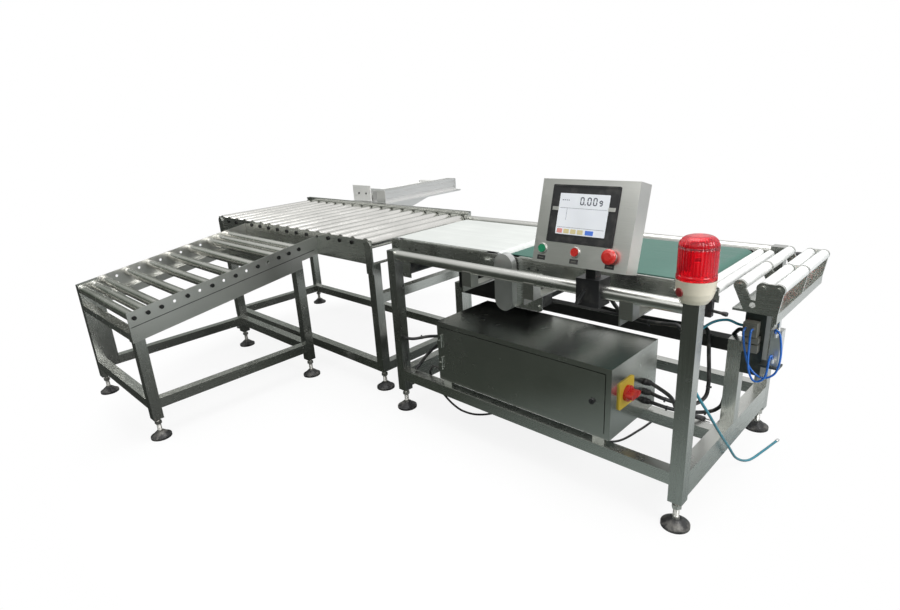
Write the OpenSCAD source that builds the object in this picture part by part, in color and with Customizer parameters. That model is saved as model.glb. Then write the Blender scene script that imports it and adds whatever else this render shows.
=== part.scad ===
// Checkweigher line: a sloping gravity roller table, a roller table with a pusher,
// and a frame with a weigh conveyor, an infeed conveyor and a tilting roller cradle.
// All lengths are millimetres. X runs along the line, Z is up, the floor is Z = 0.

/* [Frame] */
// Side of the square tube
tube_w = 40; // [30:1:60]
// Main frame: leg axis to leg axis along the line
main_len = 1130; // [900:5:1600]
// Main frame: leg axis to leg axis across the line
main_wid = 690; // [560:5:900]
// Top of the main legs above the floor
leg_top = 675; // [600:1:900]
// Lower end of every leg above the floor
foot_h = 84; // [60:1:120]
// Top of the main lower beams above the floor
beam_top = 178; // [150:1:240]
// Height of the tall end beams
end_beam_h = 80; // [40:1:90]
// Diameter of the round side rails
rail_d = 38; // [25:0.5:50]
// Top of the centre beam above the floor
centre_top = 455; // [380:1:520]
// Centre beam behind the middle of the frame
centre_off = 25; // [0:1:60]

/* [Levelling feet] */
// Diameter of a foot pad
pad_d = 80; // [50:1:100]
// Height of a foot pad
pad_h = 26; // [16:1:40]
// Diameter of a foot spindle
spindle_d = 16; // [10:1:24]
// Width across flats of the lock nuts
nut_w = 24; // [16:1:36]
// Height of a lock nut
nut_h = 12; // [6:1:18]

/* [Conveyors] */
// Height of the carrying surface
level = 686; // [640:1:900]
// Outside width over the side plates
conv_wid = 460; // [300:5:560]
// Thickness of the side plates
plate_t = 4; // [2:0.5:8]
// Height of the side plates
plate_h = 80; // [70:1:90]
// Thickness of the belts
belt_t = 2; // [1:0.5:4]
// Gap between a belt edge and its side plate
edge_gap = 14; // [8:1:30]
// Diameter of the drums
drum_d = 50; // [40:1:56]
// Diameter of the drum shafts
shaft_d = 15; // [8:1:20]
// Length of the weigh conveyor
weigh_len = 570; // [400:5:700]
// End of the infeed conveyor before the right leg axes
infeed_stop = 38; // [20:1:80]
// Gap between the two conveyors
conv_gap = 12; // [8:1:30]
// How far the weigh conveyor reaches out over the left legs
weigh_over = 145; // [60:1:160]

/* [Drive and load cell] */
// Width of the belt cover
cover_w = 76; // [60:1:84]
// Distance between the two pulley axes under the cover
pulley_drop = 126; // [90:1:160]
// Depth of the belt cover
cover_t = 26; // [15:1:40]
// Diameter of the infeed motor
motor_d = 72; // [50:1:80]
// Length of the infeed motor behind its gearbox
motor_len = 180; // [100:5:240]
// Length of the load cell housing
cell_len = 360; // [260:5:420]
// Width of the load cell housing
cell_wid = 160; // [100:5:220]
// Height of the load cell housing
cell_h = 70; // [50:1:80]

/* [Control cabinet] */
// Width of the cabinet
cab_w = 710; // [500:5:800]
// Depth of the cabinet
cab_d = 297; // [200:1:320]
// Height of the cabinet
cab_h = 234; // [160:1:260]
// Left side of the cabinet from the left leg axis
cab_x = 208; // [100:1:260]
// Sheet thickness of the cabinet
cab_t = 2; // [1.5:0.5:4]
// Width of the frame round the door
door_rim = 18; // [12:1:30]
// Gap round the door
door_gap = 1.5; // [1:0.1:3]
// Height of the rubber feet under the cabinet
cab_foot = 14; // [6:1:20]

/* [Operator panel] */
// Width of the panel box
panel_w = 285; // [220:1:360]
// Height of the panel box
panel_h = 232; // [180:1:280]
// Depth of the panel box
panel_t = 60; // [40:1:80]
// Backward lean of the panel
panel_lean = 15; // [0:1:30]
// Left edge of the panel from the left leg axis
panel_x = 707; // [500:1:800]
// Lower front edge of the panel above the rail axis
panel_rise = 88; // [70:1:140]
// Lower front edge of the panel in front of the rail axis
panel_fore = 90; // [70:1:120]
// Width of the display bezel
bezel_w = 200; // [140:1:220]
// Height of the display bezel
bezel_h = 156; // [110:1:160]
// Diameter of the push button rings
ring_d = 29; // [22:0.5:32]
// Diameter of the push buttons
button_d = 22; // [16:0.5:24]
// Diameter of the emergency mushroom head
mushroom_d = 40; // [30:1:45]

/* [Beacon] */
// Diameter of the beacon base
beacon_d = 96; // [80:1:120]
// Height of the beacon base
beacon_base_h = 60; // [40:1:80]
// Height of the dome above the base
dome_h = 107; // [80:1:130]
// Wall of the dome
dome_t = 3; // [2:0.5:5]

/* [Tilting cradle] */
// Diameter of the two transfer rollers
transfer_d = 25; // [18:0.5:26]
// Diameter of the cradle rollers
cradle_roller_d = 30; // [20:1:34]
// Length of one bay of the cradle
bay_len = 215; // [150:1:240]
// Thickness of the V plates
vee_t = 8; // [5:0.5:12]
// Width of the tilting base
base_w = 106; // [96:1:110]
// Thickness of the tilting base
base_t = 6; // [4:0.5:10]
// Bore side of the air cylinder body
cyl_w = 30; // [24:1:36]
// Length of the air cylinder body
cyl_len = 112; // [90:1:130]
// Diameter of the piston rod
rod_d = 10; // [6:1:14]

/* [Roller table] */
// Leg axis to leg axis along the line
table_len = 1339; // [1000:1:1600]
// Leg axis to leg axis across the line
table_wid = 563; // [400:1:640]
// From the right leg axis to the main frame's left leg axis
table_gap = 212; // [200:1:300]
// Height of the side rails
side_h = 104; // [80:1:120]
// Sheet thickness of the side rails
side_t = 4; // [2:0.5:6]
// Diameter of the rollers
roller_d = 50; // [38:1:60]
// Pitch of the rollers
roller_pitch = 87; // [60:1:120]
// Diameter of the roller axles
axle_d = 12; // [8:1:16]
// Height of the guide profile at the rear
guide_h = 40; // [30:1:60]

/* [Sloping table] */
// Leg axis to leg axis along the line
slope_wid = 643; // [400:1:800]
// Leg axis to leg axis down the slope, measured on the floor
slope_run = 722; // [500:1:900]
// Slope of the rollers
slope_angle = 8.5; // [4:0.5:12]
// Top of the side rails at their upper end
slope_top = 663; // [560:1:680]
// Height of the drilled side rails
drilled_h = 85; // [60:1:100]
// Diameter of the gravity rollers
gravity_d = 38; // [30:1:46]
// Pitch of the holes in the rails
hole_pitch = 53; // [50:0.5:70]
// Depth of the wide post at the low corner
wide_post = 90; // [60:1:110]

/* [Pusher] */
// Width of the linear unit
unit_w = 69; // [50:1:90]
// Height of the linear unit
unit_h = 65; // [50:1:90]
// Length of the linear unit
unit_len = 586; // [400:1:700]
// Width of the pusher plate
push_w = 160; // [100:1:220]
// Height of the pusher plate
push_h = 88; // [60:1:110]

/* [Cables and hoses] */
// Diameter of the mains lead
lead_d = 8; // [6:0.5:12]
// Diameter of the air hose
hose_d = 8; // [6:0.5:12]
// Diameter of the cables along the frame
wire_d = 12; // [8:0.5:16]
// Diameter of the blue air tubes
air_d = 6; // [4:0.5:8]

/* [Hidden] */
$fn = 48;

// Clearances: seats, running fits, loose holes, overrun of cuts
seat = 0.3;
run_fit = 0.05;
axle_fit = 0.25;
over = 2;

// Bolts and pins used all over
bolt_d = 8;
bolt_head = 13;
bolt_h = 5;
corner_r = 12;

// Main frame, from the axis of its front left leg
half = tube_w / 2;
inner_x = main_len - half;
centre_y = main_wid / 2 + centre_off;
rail_z = leg_top - rail_d / 2;
bar_h = 25;
bar_w = 40;
bar_gap = 3;
bar_places = [0.341, 0.566, 0.85];
support_y = cab_d - half / 2;

// Conveyors
conv_y = (main_wid - conv_wid) / 2;
drum_gap = 0.3;
drum_r = drum_d / 2;
belt_r = drum_r + drum_gap;
drum_z = level - belt_t - belt_r;
plate_z = level - belt_t * 2 - plate_h;
bar_z = plate_z - bar_gap - bar_h;
saddle_h = rail_z - rail_d / 2 - bar_z - bar_h;
belt_wid = conv_wid - 2 * (plate_t + edge_gap);
weigh_x = -weigh_over;
infeed_x = weigh_x + weigh_len + conv_gap;
infeed_end = main_len - infeed_stop;
infeed_len = infeed_end - infeed_x;
bed_t = 3;
rib = 30;
rib_h = 18;
tie_h = 22;

// Drive
bracket_t = 6;
bracket_x = infeed_x + drum_r - cover_w / 3;
bracket_w = 165;
bracket_h = 130;
bracket_z = drum_z - pulley_drop - cover_w / 3;
gear_w = 86;
gear_h = 82;
gear_d = 60;
weigh_motor_d = 64;
weigh_motor_len = 180;
weigh_motor_in = 60;
weigh_motor_x = weigh_x + weigh_motor_in;

// Load cell
cell_x = 60;
cell_foot = 6;
cell_y = centre_y - cell_wid / 2;
head_w = 60;
head_plate_t = 8;

// Cabinet with its door, lock, switch and inner parts
cab_z = beam_top + cab_foot;
door_flange = 10;
door_left = cab_x + door_rim + door_gap;
hinge_r = 4;
hinge_len = 50;
hinge_leaf = 16;
door_axis_x = door_left + hinge_r;
door_axis_y = -cab_t - hinge_r - seat;
lock_d = 18;
lock_h = 6;
lock_in = 40;
cam_t = 2;
cam_w = 9;
switch_w = 88;
switch_t = 5;
switch_y = 88;
switch_up = 128;
handle_d = 40;
stem_d = 16;
stem_gap = 0.4;
cab_board = 3;
cab_pad = 40;
device_shares = [[0.08, 0.3, 0.16], [0.28, 0.22, 0.1], [0.42, 0.2, 0.24], [0.7, 0.28, 0.2]];

// Panel: its own frame lies on the front face, origin at the lower left corner
rail_clear = 0.06;
clamp_w = 72;
clamp_h = 80;
clamp_t = 62;
post_w = 30;
post_rise = 118;
arm_plate_t = 14;
lever_len = 52;
outlet_d = 16;
outlet_len = 6;
bezel_t = 2;
bezel_up = 61;
bezel_left = 37;
screen_w = 152;
screen_h = 114;
screen_t = 1;
ring_h = 4;
button_h = 6;
button_up = 39;
start_in = 28;
stop_in = 132;
emergency_in = 237;
mushroom_h = 12;
mushroom_gap = 4;
stem_len = 14;

// Beacon
lamp_d = 18;
lamp_h = 40;
disc_d = 22;
mirror_r = 28;
mirror_h = 58;
mirror_foot = 8;

// Cradle on its column at the right end of the main frame
transfer_off = 14;
transfer_1 = infeed_end + transfer_off;
transfer_pitch = 30;
transfer_pin = 8;
cradle_in = 30.7;
cradle_front = conv_y + cradle_in;
cradle_len = 2 * bay_len + vee_t;
column_x = main_len + half;
column_w = 56;
column_d = 50;
column_drop = 99;
column_low = centre_top - column_drop;
lug_t = 8;
pin_head = 4;
hinge_d = 10;
lug_r = 9.7;
hinge_drop = 78;
hinge_in = 30;
hinge_z = level - hinge_drop;
hinge_x = column_x + hinge_in;
column_top = hinge_z - lug_r - seat;
knuckle_len = column_d - 2 * lug_t - 2 * seat;
base_gap = 2;
base_left = 6;
base_x = hinge_x - base_left;
base_z = hinge_z + lug_r + base_gap + base_t;
lip_h = 26;
roller_rise = 17;
arm_z = level - cradle_roller_d / 2 + roller_rise;
arm_r = 15;
arm_1 = hinge_x + base_left;
arm_gap = 54;
pair_gap = 35;
arm_2 = arm_1 + arm_gap;
arm_3 = arm_2 + pair_gap;

// Air cylinder and valve on the column
cyl_out = 60;
cyl_drop = 50;
cyl_x = hinge_x + cyl_out;
cyl_low = centre_top - cyl_drop;
cyl_y = centre_y - column_d / 2;
elbow_d = 12;
rod_gap = 0.9;
rod_rise = base_z - base_t - rod_gap;
stroke_room = 60;
valve_w = 38;
valve_t = 30;
valve_in = 4;

// Roller table
table_x = -table_gap;
table_left = table_x - table_len;
table_y = (main_wid - table_wid) / 2;
table_far = table_y + table_wid;
side_top = level - half * 0.3;
side_z = side_top - side_h;
roller_z = level - roller_d / 2;
end_gap = 5;
roller_first = roller_d / 2 + end_gap;
roller_count = floor((table_len + tube_w - roller_d - 2 * end_gap) / roller_pitch) + 1;
cap_len = 12;
cap_gap = 3;
tube_wall = 2;
flange_w = 25;
upper_drop = 12;
upper_top = centre_top - upper_drop;
head_t = 6;
head_down = 40;
guide_w = 24;
guide_z = side_top - guide_h / 2 + side_t / 2;

// Sloping table: leg axes, and the line of its rail tops
slope_in = 301;
slope_back = 114;
slope_out = 5;
slope_left = table_left + slope_in;
slope_right = slope_left + slope_wid;
slope_end = table_y - half - seat;
slope_rear = slope_end - slope_back;
slope_front = slope_rear - slope_run;
slope_start = slope_front - half - slope_out;
function slope_z(y) = slope_top + (y - slope_end) * tan(slope_angle);
slope_low_rise = 44;
slope_low = foot_h + slope_low_rise;
slope_beam = 34;
gravity_steps = [0, 1, 2, 4, 6, 8, 10, 12, 13, 14];
hole_count = 15;
first_hole = 24;
hole_down = 26;
knob_d = 22;
knob_h = 20;

// Pusher on its shelf behind the roller table
unit_in = 623;
unit_back = 75;
unit_rise = 14;
unit_x = table_left + unit_in;
unit_y = table_far + unit_back;
unit_z = level + unit_rise;
unit_out = 2;
groove = 6;
shelf_t = 8;
shelf_y = table_far + half + guide_w + seat;
push_out = 202;
push_x = unit_x - push_out;
push_t = 6;
push_gap = 13;
push_rise = 1;
push_z = guide_z + guide_h + push_rise;
guide_rod = 16;
guide_len = 80;
rod_in = 29;
rod_up = 37;
rod_z = unit_z + rod_up;
slide_gap = 0.5;

// Cable glands on the two ends of the cabinet: place in depth and height above its base
gland_d = 20;
gland_len = 22;
gland_y = 220;
right_ups = [112, 78, 46];
left_ys = [60, 100, 140, 140, 30];
left_ups = [150, 110, 120, 36, 24];

// Cable routes, from the main frame's front left leg
wire_routes = [
    [[862, 38.5, 656], [862, 46, 656], [862, 53, 655], [865, 68, 622], [900, 80, 575], [960, 85, 560],
        [1030, 70, 572], [1080, 50, 580], [1098, 40, 540], [1098, 40, 380], [1080, 80, 320],
        [1020, 170, 305], [940, 220, 304]],
    [[940, 220, 270], [985, 222, 262], [1040, 270, 240], [1066, 325, 250], [1070, 338, 300],
        [1062, 338, 400], [1058, 338, 444], [1048, 346, 472], [1014, 366, 470], [900, 370, 464],
        [720, 370, 464], [600, 372, 484], [560, 376, 530], [554, 362, 561]],
    [[940, 220, 238], [1000, 240, 225], [1050, 310, 200], [1085, 385, 190], [1102, 397, 240],
        [1104, 397, 420], [1120, 397, 470], [1143, 380, 480]],
    [[186, 60, 342], [120, 40, 332], [70, 12, 320], [42, 0, 318], [20.4, 0, 318]],
    [[186, 100, 302], [130, 90, 290], [84, 60, 240], [62, 36, 200], [60, 10, 185]],
    [[186, 140, 312], [116, 146, 290], [96, 150, 250], [116, 146, 222], [186, 140, 228]]];
air_routes = [
    [[90, 318, 512.5], [91, 312, 524], [106, 304, 512], [114, 304, 450], [104, 308, 395],
        [72, 306, 374], [38, 304, 400], [22, 300, 450], [14, 298, 500], [13.5, 305, 511],
        [13.5, 314, 512.4]],
    [[90, 318, 434.2], [90, 312, 446], [88, 300, 440], [82, 300, 380], [56, 298, 362],
        [38, 296, 400], [34, 294, 470], [32.5, 300, 508], [32.5, 314, 512.4]]];
lead_route = [[185.7, 30, 216], [170, 30, 216], [156, 31, 216], [139, 32, 211], [126, 33, 199],
    [119, 34, 182], [120, 35, 164], [130, 36, 147], [158, 39, 118], [190, 42, 90], [222, 50, 62], [254, 70, 35],
    [290, 112, 13], [328, 180, 5], [364, 310, 5], [396, 450, 5], [452, 560, 5], [548, 580, 5],
    [608, 480, 5], [640, 340, 5], [708, 250, 5], [796, 286, 5], [824, 410, 5], [836, 530, 5],
    [868, 594, 8], [930, 606, 15]];
hose_route = [[4, 335, 512], [-12, 332, 514], [-36, 300, 532], [-54, 220, 540], [-64, 120, 520],
    [-46, 50, 470], [-14, 44, 410], [10, 90, 330], [16, 180, 230], [18, 270, 140],
    [22, 350, 60], [34, 440, 12], [50, 540, 5], [66, 640, 5]];
plug_len = 48;
plug_w = 34;
plug_rise = 15;
pin_w = 5;

// Origin of the part: middle of the footprint
left_x = table_left - pad_d / 2;
right_x = arm_3 + arm_r;
front_y = slope_front - pad_d / 2;
rear_y = unit_y + unit_len;
line_x = -(left_x + right_x) / 2;
line_y = -(front_y + rear_y) / 2;

// Moves what is drawn from the main frame's front left leg into the part's frame
module at_line() translate([line_x, line_y, 0]) children();

// Box from two opposite corners
module block(a, b) translate(a) cube(b - a);

// Flat outline with round ends, lying along X
module stadium(len, r) {
    translate([0, -r]) square([len, 2 * r]);
    circle(r);
    translate([len, 0]) circle(r);
}

// Flat rectangle with round corners
module rounded(w, h, r) {
    translate([r, 0]) square([w - 2 * r, h]);
    translate([0, r]) square([w, h - 2 * r]);
    for (x = [r, w - r], y = [r, h - r]) translate([x, y]) circle(r);
}

// Stands a flat outline up: drawn X to X, drawn Y to Z, thickness towards +Y
module upright(t) translate([0, t, 0]) rotate([90, 0, 0]) linear_extrude(t) children();

// Round bar along Y, from y = 0
module bar_y(d, len) rotate([-90, 0, 0]) cylinder(d = d, h = len);

// Round bar along X, from x = 0
module bar_x(d, len) rotate([0, 90, 0]) cylinder(d = d, h = len);

// Hexagon bolt head standing on z = 0
module hex_head(w, h) cylinder(d = w / cos(30), h = h, $fn = 6);

// Smooth path through points, and a tube of flat sides along it
function unit(v) = v / norm(v);
function blend(a, b, c, d, t) = 0.5 * (2 * b + (c - a) * t + (2 * a - 5 * b + 4 * c - d) * t * t
    + (3 * b - a - 3 * c + d) * t * t * t);
function path(p, n) = [for (i = [0:len(p) - 2], k = [0:n - 1])
    blend(p[max(i - 1, 0)], p[i], p[i + 1], p[min(i + 2, len(p) - 1)], k / n), p[len(p) - 1]];
function heading(p, i) = unit(p[min(i + 1, len(p) - 1)] - p[max(i - 1, 0)]);
function side_of(t, ref) = unit(cross(t, ref));
module tube(p, d, sides = 8, ref = [0.83, 0.41, 0.37]) {
    rings = [for (i = [0:len(p) - 1], a = [0:sides - 1])
        let (t = heading(p, i), u = side_of(t, ref), v = cross(t, u), s = 360 * a / sides)
        p[i] + (u * cos(s) + v * sin(s)) * d / 2];
    last = (len(p) - 1) * sides;
    walls = [for (i = [0:len(p) - 2], a = [0:sides - 1])
        let (b = (a + 1) % sides, q = i * sides)
        [q + a, q + sides + a, q + sides + b, q + b]];
    caps = [[for (a = [0:sides - 1]) a], [for (a = [sides - 1:-1:0]) last + a]];
    polyhedron(rings, [for (w = concat(walls, caps)) each [for (k = [1:len(w) - 2])
        [w[0], w[k], w[k + 1]]]]);
}

// Leg with an optional round headed plate on its front or rear face
module leg(x, y, low, high) translate([x - half, y - half, low]) cube([tube_w, tube_w, high - low]);
module head_plate(x, y, top) translate([x - half, y, side_z - head_down]) upright(head_t) {
    square([tube_w, top - side_z + head_down - half]);
    translate([half, top - side_z + head_down - half]) circle(half);
}

// Leg whose top follows the slope
module sloped_leg(x, y0, y1, low, drop) translate([x - half, 0, 0]) rotate([90, 0, 90])
    linear_extrude(tube_w) polygon([[y0, low], [y1, low], [y1, slope_z(y1) - drop],
        [y0, slope_z(y0) - drop]]);

module frame_legs() color("silver") at_line() {
    for (x = [0, main_len]) {
        leg(x, 0, foot_h, leg_top);
        leg(x, centre_y, beam_top, centre_top);
    }
    leg(main_len, main_wid, foot_h, leg_top);
    leg(0, main_wid, foot_h, rail_z - rail_d / 2 - seat);
    for (x = [table_left, table_x]) {
        leg(x, table_y, foot_h, side_z);
        head_plate(x, table_y - half - head_t, side_top - half / 5);
        leg(x, table_far, foot_h, side_z);
        head_plate(x, table_far + half, guide_z - seat);
    }
    drop = drilled_h + slope_beam;
    for (x = [slope_left, slope_right]) sloped_leg(x, slope_rear - half, slope_rear + half, foot_h, drop);
    sloped_leg(slope_right, slope_front - half, slope_front + half, foot_h, drop);
    sloped_leg(slope_left, slope_front - half, slope_front - half + wide_post, slope_low, 0);
    leg(slope_left, slope_front, foot_h, slope_low);
}

// Lower and upper stringers; each ends on the faces of the legs
module beam_x(x0, x1, y, z, h) translate([x0, y - half + seat, z])
    cube([x1 - x0, tube_w - 2 * seat, h]);
module beam_y(x, y0, y1, z, h) translate([x - half, y0, z]) cube([tube_w, y1 - y0, h]);

module frame_beams() color("silver") at_line() {
    for (y = [0, main_wid]) beam_x(half, inner_x, y, beam_top - tube_w, tube_w);
    for (x = [0, main_len]) beam_y(x, half, main_wid - half, beam_top - end_beam_h, end_beam_h);
    beam_x(half + seat, inner_x - seat, support_y, beam_top - tube_w, tube_w);
    beam_x(half, inner_x, centre_y, centre_top - tube_w, tube_w);
    for (y = [table_y, table_far]) beam_x(table_left + half, table_x - half, y, foot_h, tube_w);
    for (x = [table_left, table_x], z = [foot_h, upper_top - tube_w])
        beam_y(x, table_y + half, table_far - half, z, tube_w);
    for (y = [slope_front, slope_rear]) beam_x(slope_left + half, slope_right - half, y, slope_low, tube_w);
    beam_y(slope_right, slope_front + half, slope_rear - half, slope_low, tube_w);
    beam_y(slope_left, slope_front - half + wide_post, slope_rear - half, slope_low, tube_w);
    for (y = [slope_front, slope_rear]) beam_x(slope_left + half, slope_right - half, y,
        slope_z(y - half) - drilled_h - slope_beam, slope_beam * 0.8);
}

// Saddle under a side rail: a block hollowed to the rail, seated on the cross bar
module saddle(x, y) translate([x, y, bar_z + bar_h + seat]) difference() {
    translate([-bar_w / 2, -rail_d / 2, 0]) cube([bar_w, rail_d, saddle_h + rail_d / 4 - seat]);
    translate([-bar_w / 2 - over, 0, rail_z - bar_z - bar_h - seat]) bar_x(rail_d + 2 * seat, bar_w + 2 * over);
}

// Cross bar under the conveyors: an angle open towards the right
module cross_bar(x) translate([x - bar_w / 2, -rail_d / 2, bar_z]) difference() {
    cube([bar_w, main_wid + rail_d, bar_h]);
    translate([plate_t, -over, -over]) cube([bar_w, main_wid + rail_d + 2 * over, bar_h - plate_t + over]);
}

module rail_tubes() color("gainsboro") at_line() {
    translate([half, 0, rail_z]) bar_x(rail_d, inner_x - half);
    translate([table_x - half, main_wid, rail_z]) bar_x(rail_d, inner_x - table_x + half);
    block([table_x - half, table_far + half + head_t, rail_z - rail_d / 2],
        [table_x + half, main_wid - rail_d / 2 - seat, guide_z - seat]);
    for (share = bar_places) {
        cross_bar(share * main_len);
        for (y = [0, main_wid]) saddle(share * main_len, y);
    }
}

// Every levelling foot stands on one of these leg axes
foot_places = [for (x = [0, main_len], y = [0, main_wid]) [x, y],
    for (x = [table_left, table_x], y = [table_y, table_far]) [x, y],
    for (x = [slope_left, slope_right], y = [slope_front, slope_rear]) [x, y]];

module foot_spindles() color("dimgray") at_line() for (p = foot_places) translate(p) {
    translate([0, 0, pad_h]) cylinder(d = spindle_d, h = foot_h - pad_h);
    translate([0, 0, foot_h - 2 * nut_h]) hex_head(nut_w, nut_h);
    translate([0, 0, pad_h]) hex_head(nut_w * 0.8, nut_h / 2);
}

module foot_pads() color("black") at_line() for (p = foot_places) translate(p) rotate_extrude()
    polygon([[0, 0], [pad_d / 2, 0], [pad_d / 2, pad_h * 0.3], [pad_d * 0.42, pad_h * 0.42],
        [pad_d * 0.24, pad_h * 0.9], [pad_d * 0.2, pad_h], [0, pad_h]]);

// Side plate of a conveyor: round corners, shaft holes, two spare holes and the tension bolts
module side_plate(len, y) translate([0, y, plate_z]) difference() {
    upright(plate_t) rounded(len, plate_h, corner_r);
    for (x = [drum_r, len - drum_r]) translate([x, -over, drum_z - plate_z])
        bar_y(shaft_d + 2 * run_fit, plate_t + 2 * over);
    for (x = [2.2, 2.9] * drum_d) translate([x, -over, plate_h * 0.6]) bar_y(bolt_d, plate_t + 2 * over);
}
module tension_bolt(x, y, side) translate([x, y, drum_z]) {
    translate([-bolt_head / 2, -side * bolt_head / 2 - bolt_head / 2, -bolt_head / 2])
        cube([bolt_head, bolt_head, bolt_head]);
    translate([0, -side * bolt_head / 2, 0]) rotate([0, 90, 0]) cylinder(d = bolt_d, h = drum_r);
}

// Slider bed between the plates, carried on two cross tubes inside the belt
module slider_bed(len) {
    bed_top = drum_z + belt_r;
    translate([drum_d + rib / 2, conv_y + plate_t, bed_top - bed_t])
        cube([len - 2 * drum_d - rib, conv_wid - 2 * plate_t, bed_t]);
    for (share = [0.22, 0.5, 0.78]) translate([share * len - rib / 2, conv_y + plate_t,
        bed_top - bed_t - rib_h]) cube([rib, conv_wid - 2 * plate_t, rib_h]);
}
module conveyor_frame(len) {
    for (y = [conv_y, conv_y + conv_wid - plate_t]) side_plate(len, y);
    slider_bed(len);
    tension_bolt(len - drum_d - bolt_head, conv_y, 1);
    tension_bolt(len - drum_d - bolt_head, conv_y + conv_wid, -1);
}

module weigh_frame() color("silver") at_line() {
    translate([weigh_x, 0, 0]) conveyor_frame(weigh_len);
    for (x = [cell_x + head_w / 2, cell_x + 2 * head_w])
        block([x, conv_y + plate_t, plate_z], [x + rib, conv_y + conv_wid - plate_t, plate_z + tie_h]);
    block([weigh_motor_x - weigh_motor_d * 0.6, conv_y + plate_t, plate_z - weigh_motor_d * 1.2],
        [weigh_motor_x + weigh_motor_d * 0.6, conv_y + 2 * plate_t, plate_z + tie_h]);
}

module infeed_frame() color("silver") at_line() {
    translate([infeed_x, 0, 0]) conveyor_frame(infeed_len);
    for (share = [bar_places[1], bar_places[2]], y = [conv_y + plate_t, conv_y + conv_wid - plate_t - rib])
        block([share * main_len - bar_w / 2, y, bar_z + bar_h],
            [share * main_len + bar_w / 2, y + rib, plate_z + tie_h]);
    difference() {
        union() {
            translate([bracket_x, conv_y - bracket_t, bracket_z]) upright(bracket_t)
                rounded(bracket_w, bracket_h, corner_r);
            for (x = [bracket_w * 0.6, bracket_w * 0.92], z = [bracket_h * 0.12, bracket_h * 0.62])
                translate([bracket_x + x, conv_y - bracket_t - bolt_h, bracket_z + z])
                    bar_y(bolt_head, bolt_h);
        }
        translate([infeed_x + drum_r, conv_y - bracket_t - over, drum_z])
            bar_y(shaft_d + 2 * run_fit, bracket_t + 2 * over);
    }
    // Brackets of the transfer rollers
    for (y = [conv_y, conv_y + conv_wid - plate_t]) translate([infeed_end, y, 0])
        block([shaft_d - drum_r, 0, plate_z + plate_h / 2],
            [transfer_1 + transfer_pitch + transfer_d / 2 - infeed_end, plate_t,
                level - transfer_d]);
    for (y = [conv_y, conv_y + conv_wid - plate_t], k = [0, 1])
        translate([transfer_1 + k * transfer_pitch, y, level - transfer_d / 2]) difference() {
            block([-transfer_d * 0.4, 0, -transfer_d * 0.6], [transfer_d * 0.4, plate_t, transfer_d * 0.35]);
            translate([0, -over, 0]) bar_y(transfer_pin, plate_t + 2 * over);
        }
}

// Belt: one closed band round both drums
module belt(len) translate([0, conv_y + plate_t + edge_gap, drum_z]) upright(belt_wid) difference() {
    stadium(len - drum_d, belt_r + belt_t);
    stadium(len - drum_d, belt_r);
}
module weigh_belt() color("seagreen") at_line() translate([weigh_x + drum_r, 0, 0]) belt(weigh_len);
module infeed_belt() color("seagreen") at_line() translate([infeed_x + drum_r, 0, 0]) belt(infeed_len);

// Drum with its shaft; the drive side shaft can reach further out
module drum(x, reach) color("gray") at_line() translate([x, conv_y, drum_z]) {
    translate([0, plate_t + edge_gap / 2, 0]) bar_y(drum_d, conv_wid - 2 * plate_t - edge_gap);
    translate([0, -reach, 0]) bar_y(shaft_d, conv_wid + reach);
}
module weigh_drive_drum() drum(weigh_x + drum_r, 0);
module weigh_idler_drum() drum(weigh_x + weigh_len - drum_r, 0);
module infeed_drive_drum() drum(infeed_x + drum_r, bracket_t / 2);
module infeed_idler_drum() drum(infeed_end - drum_r, 0);

module load_cell() color("lightgray") at_line() {
    top = plate_z;
    low = centre_top + cell_foot + cell_h;
    translate([cell_x + head_w, centre_y, low]) cylinder(d = head_w * 0.7, h = top - low - head_plate_t);
    block([cell_x + head_w / 2, centre_y - head_w, top - head_plate_t],
        [cell_x + 2 * head_w + rib, centre_y + head_w, top]);
}

module load_cell_housing() color("black") at_line() difference() {
    union() {
        translate([cell_x, cell_y, centre_top + cell_foot]) linear_extrude(cell_h)
            rounded(cell_len, cell_wid, corner_r / 2);
        for (x = [cell_x + head_w / 2, cell_x + cell_len - head_w])
            block([x, centre_y - half, centre_top], [x + head_w / 2, centre_y + half, centre_top + cell_foot]);
    }
    for (x = [0.45, 0.6, 0.9] * cell_len) translate([cell_x + x, cell_y - over, centre_top + cell_h / 2])
        bar_y(bolt_d / 2, over + bolt_h);
}

module drive_motors() color("darkslategray") at_line() {
    block([bracket_x + bracket_w - gear_w - plate_t, conv_y, plate_z - gear_h],
        [bracket_x + bracket_w - plate_t, conv_y + gear_d, plate_z - seat]);
    translate([bracket_x + bracket_w - gear_w / 2, conv_y + gear_d, plate_z - gear_h / 2])
        bar_y(motor_d, motor_len);
    translate([weigh_motor_x, conv_y + 2 * plate_t, plate_z - weigh_motor_d * 0.6])
        bar_y(weigh_motor_d, weigh_motor_len);
}

module belt_cover() color("lightgray") at_line()
    translate([infeed_x + drum_r, conv_y - bracket_t - cover_t, drum_z - pulley_drop])
    upright(cover_t) rotate(90) stadium(pulley_drop, cover_w / 2);

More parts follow.
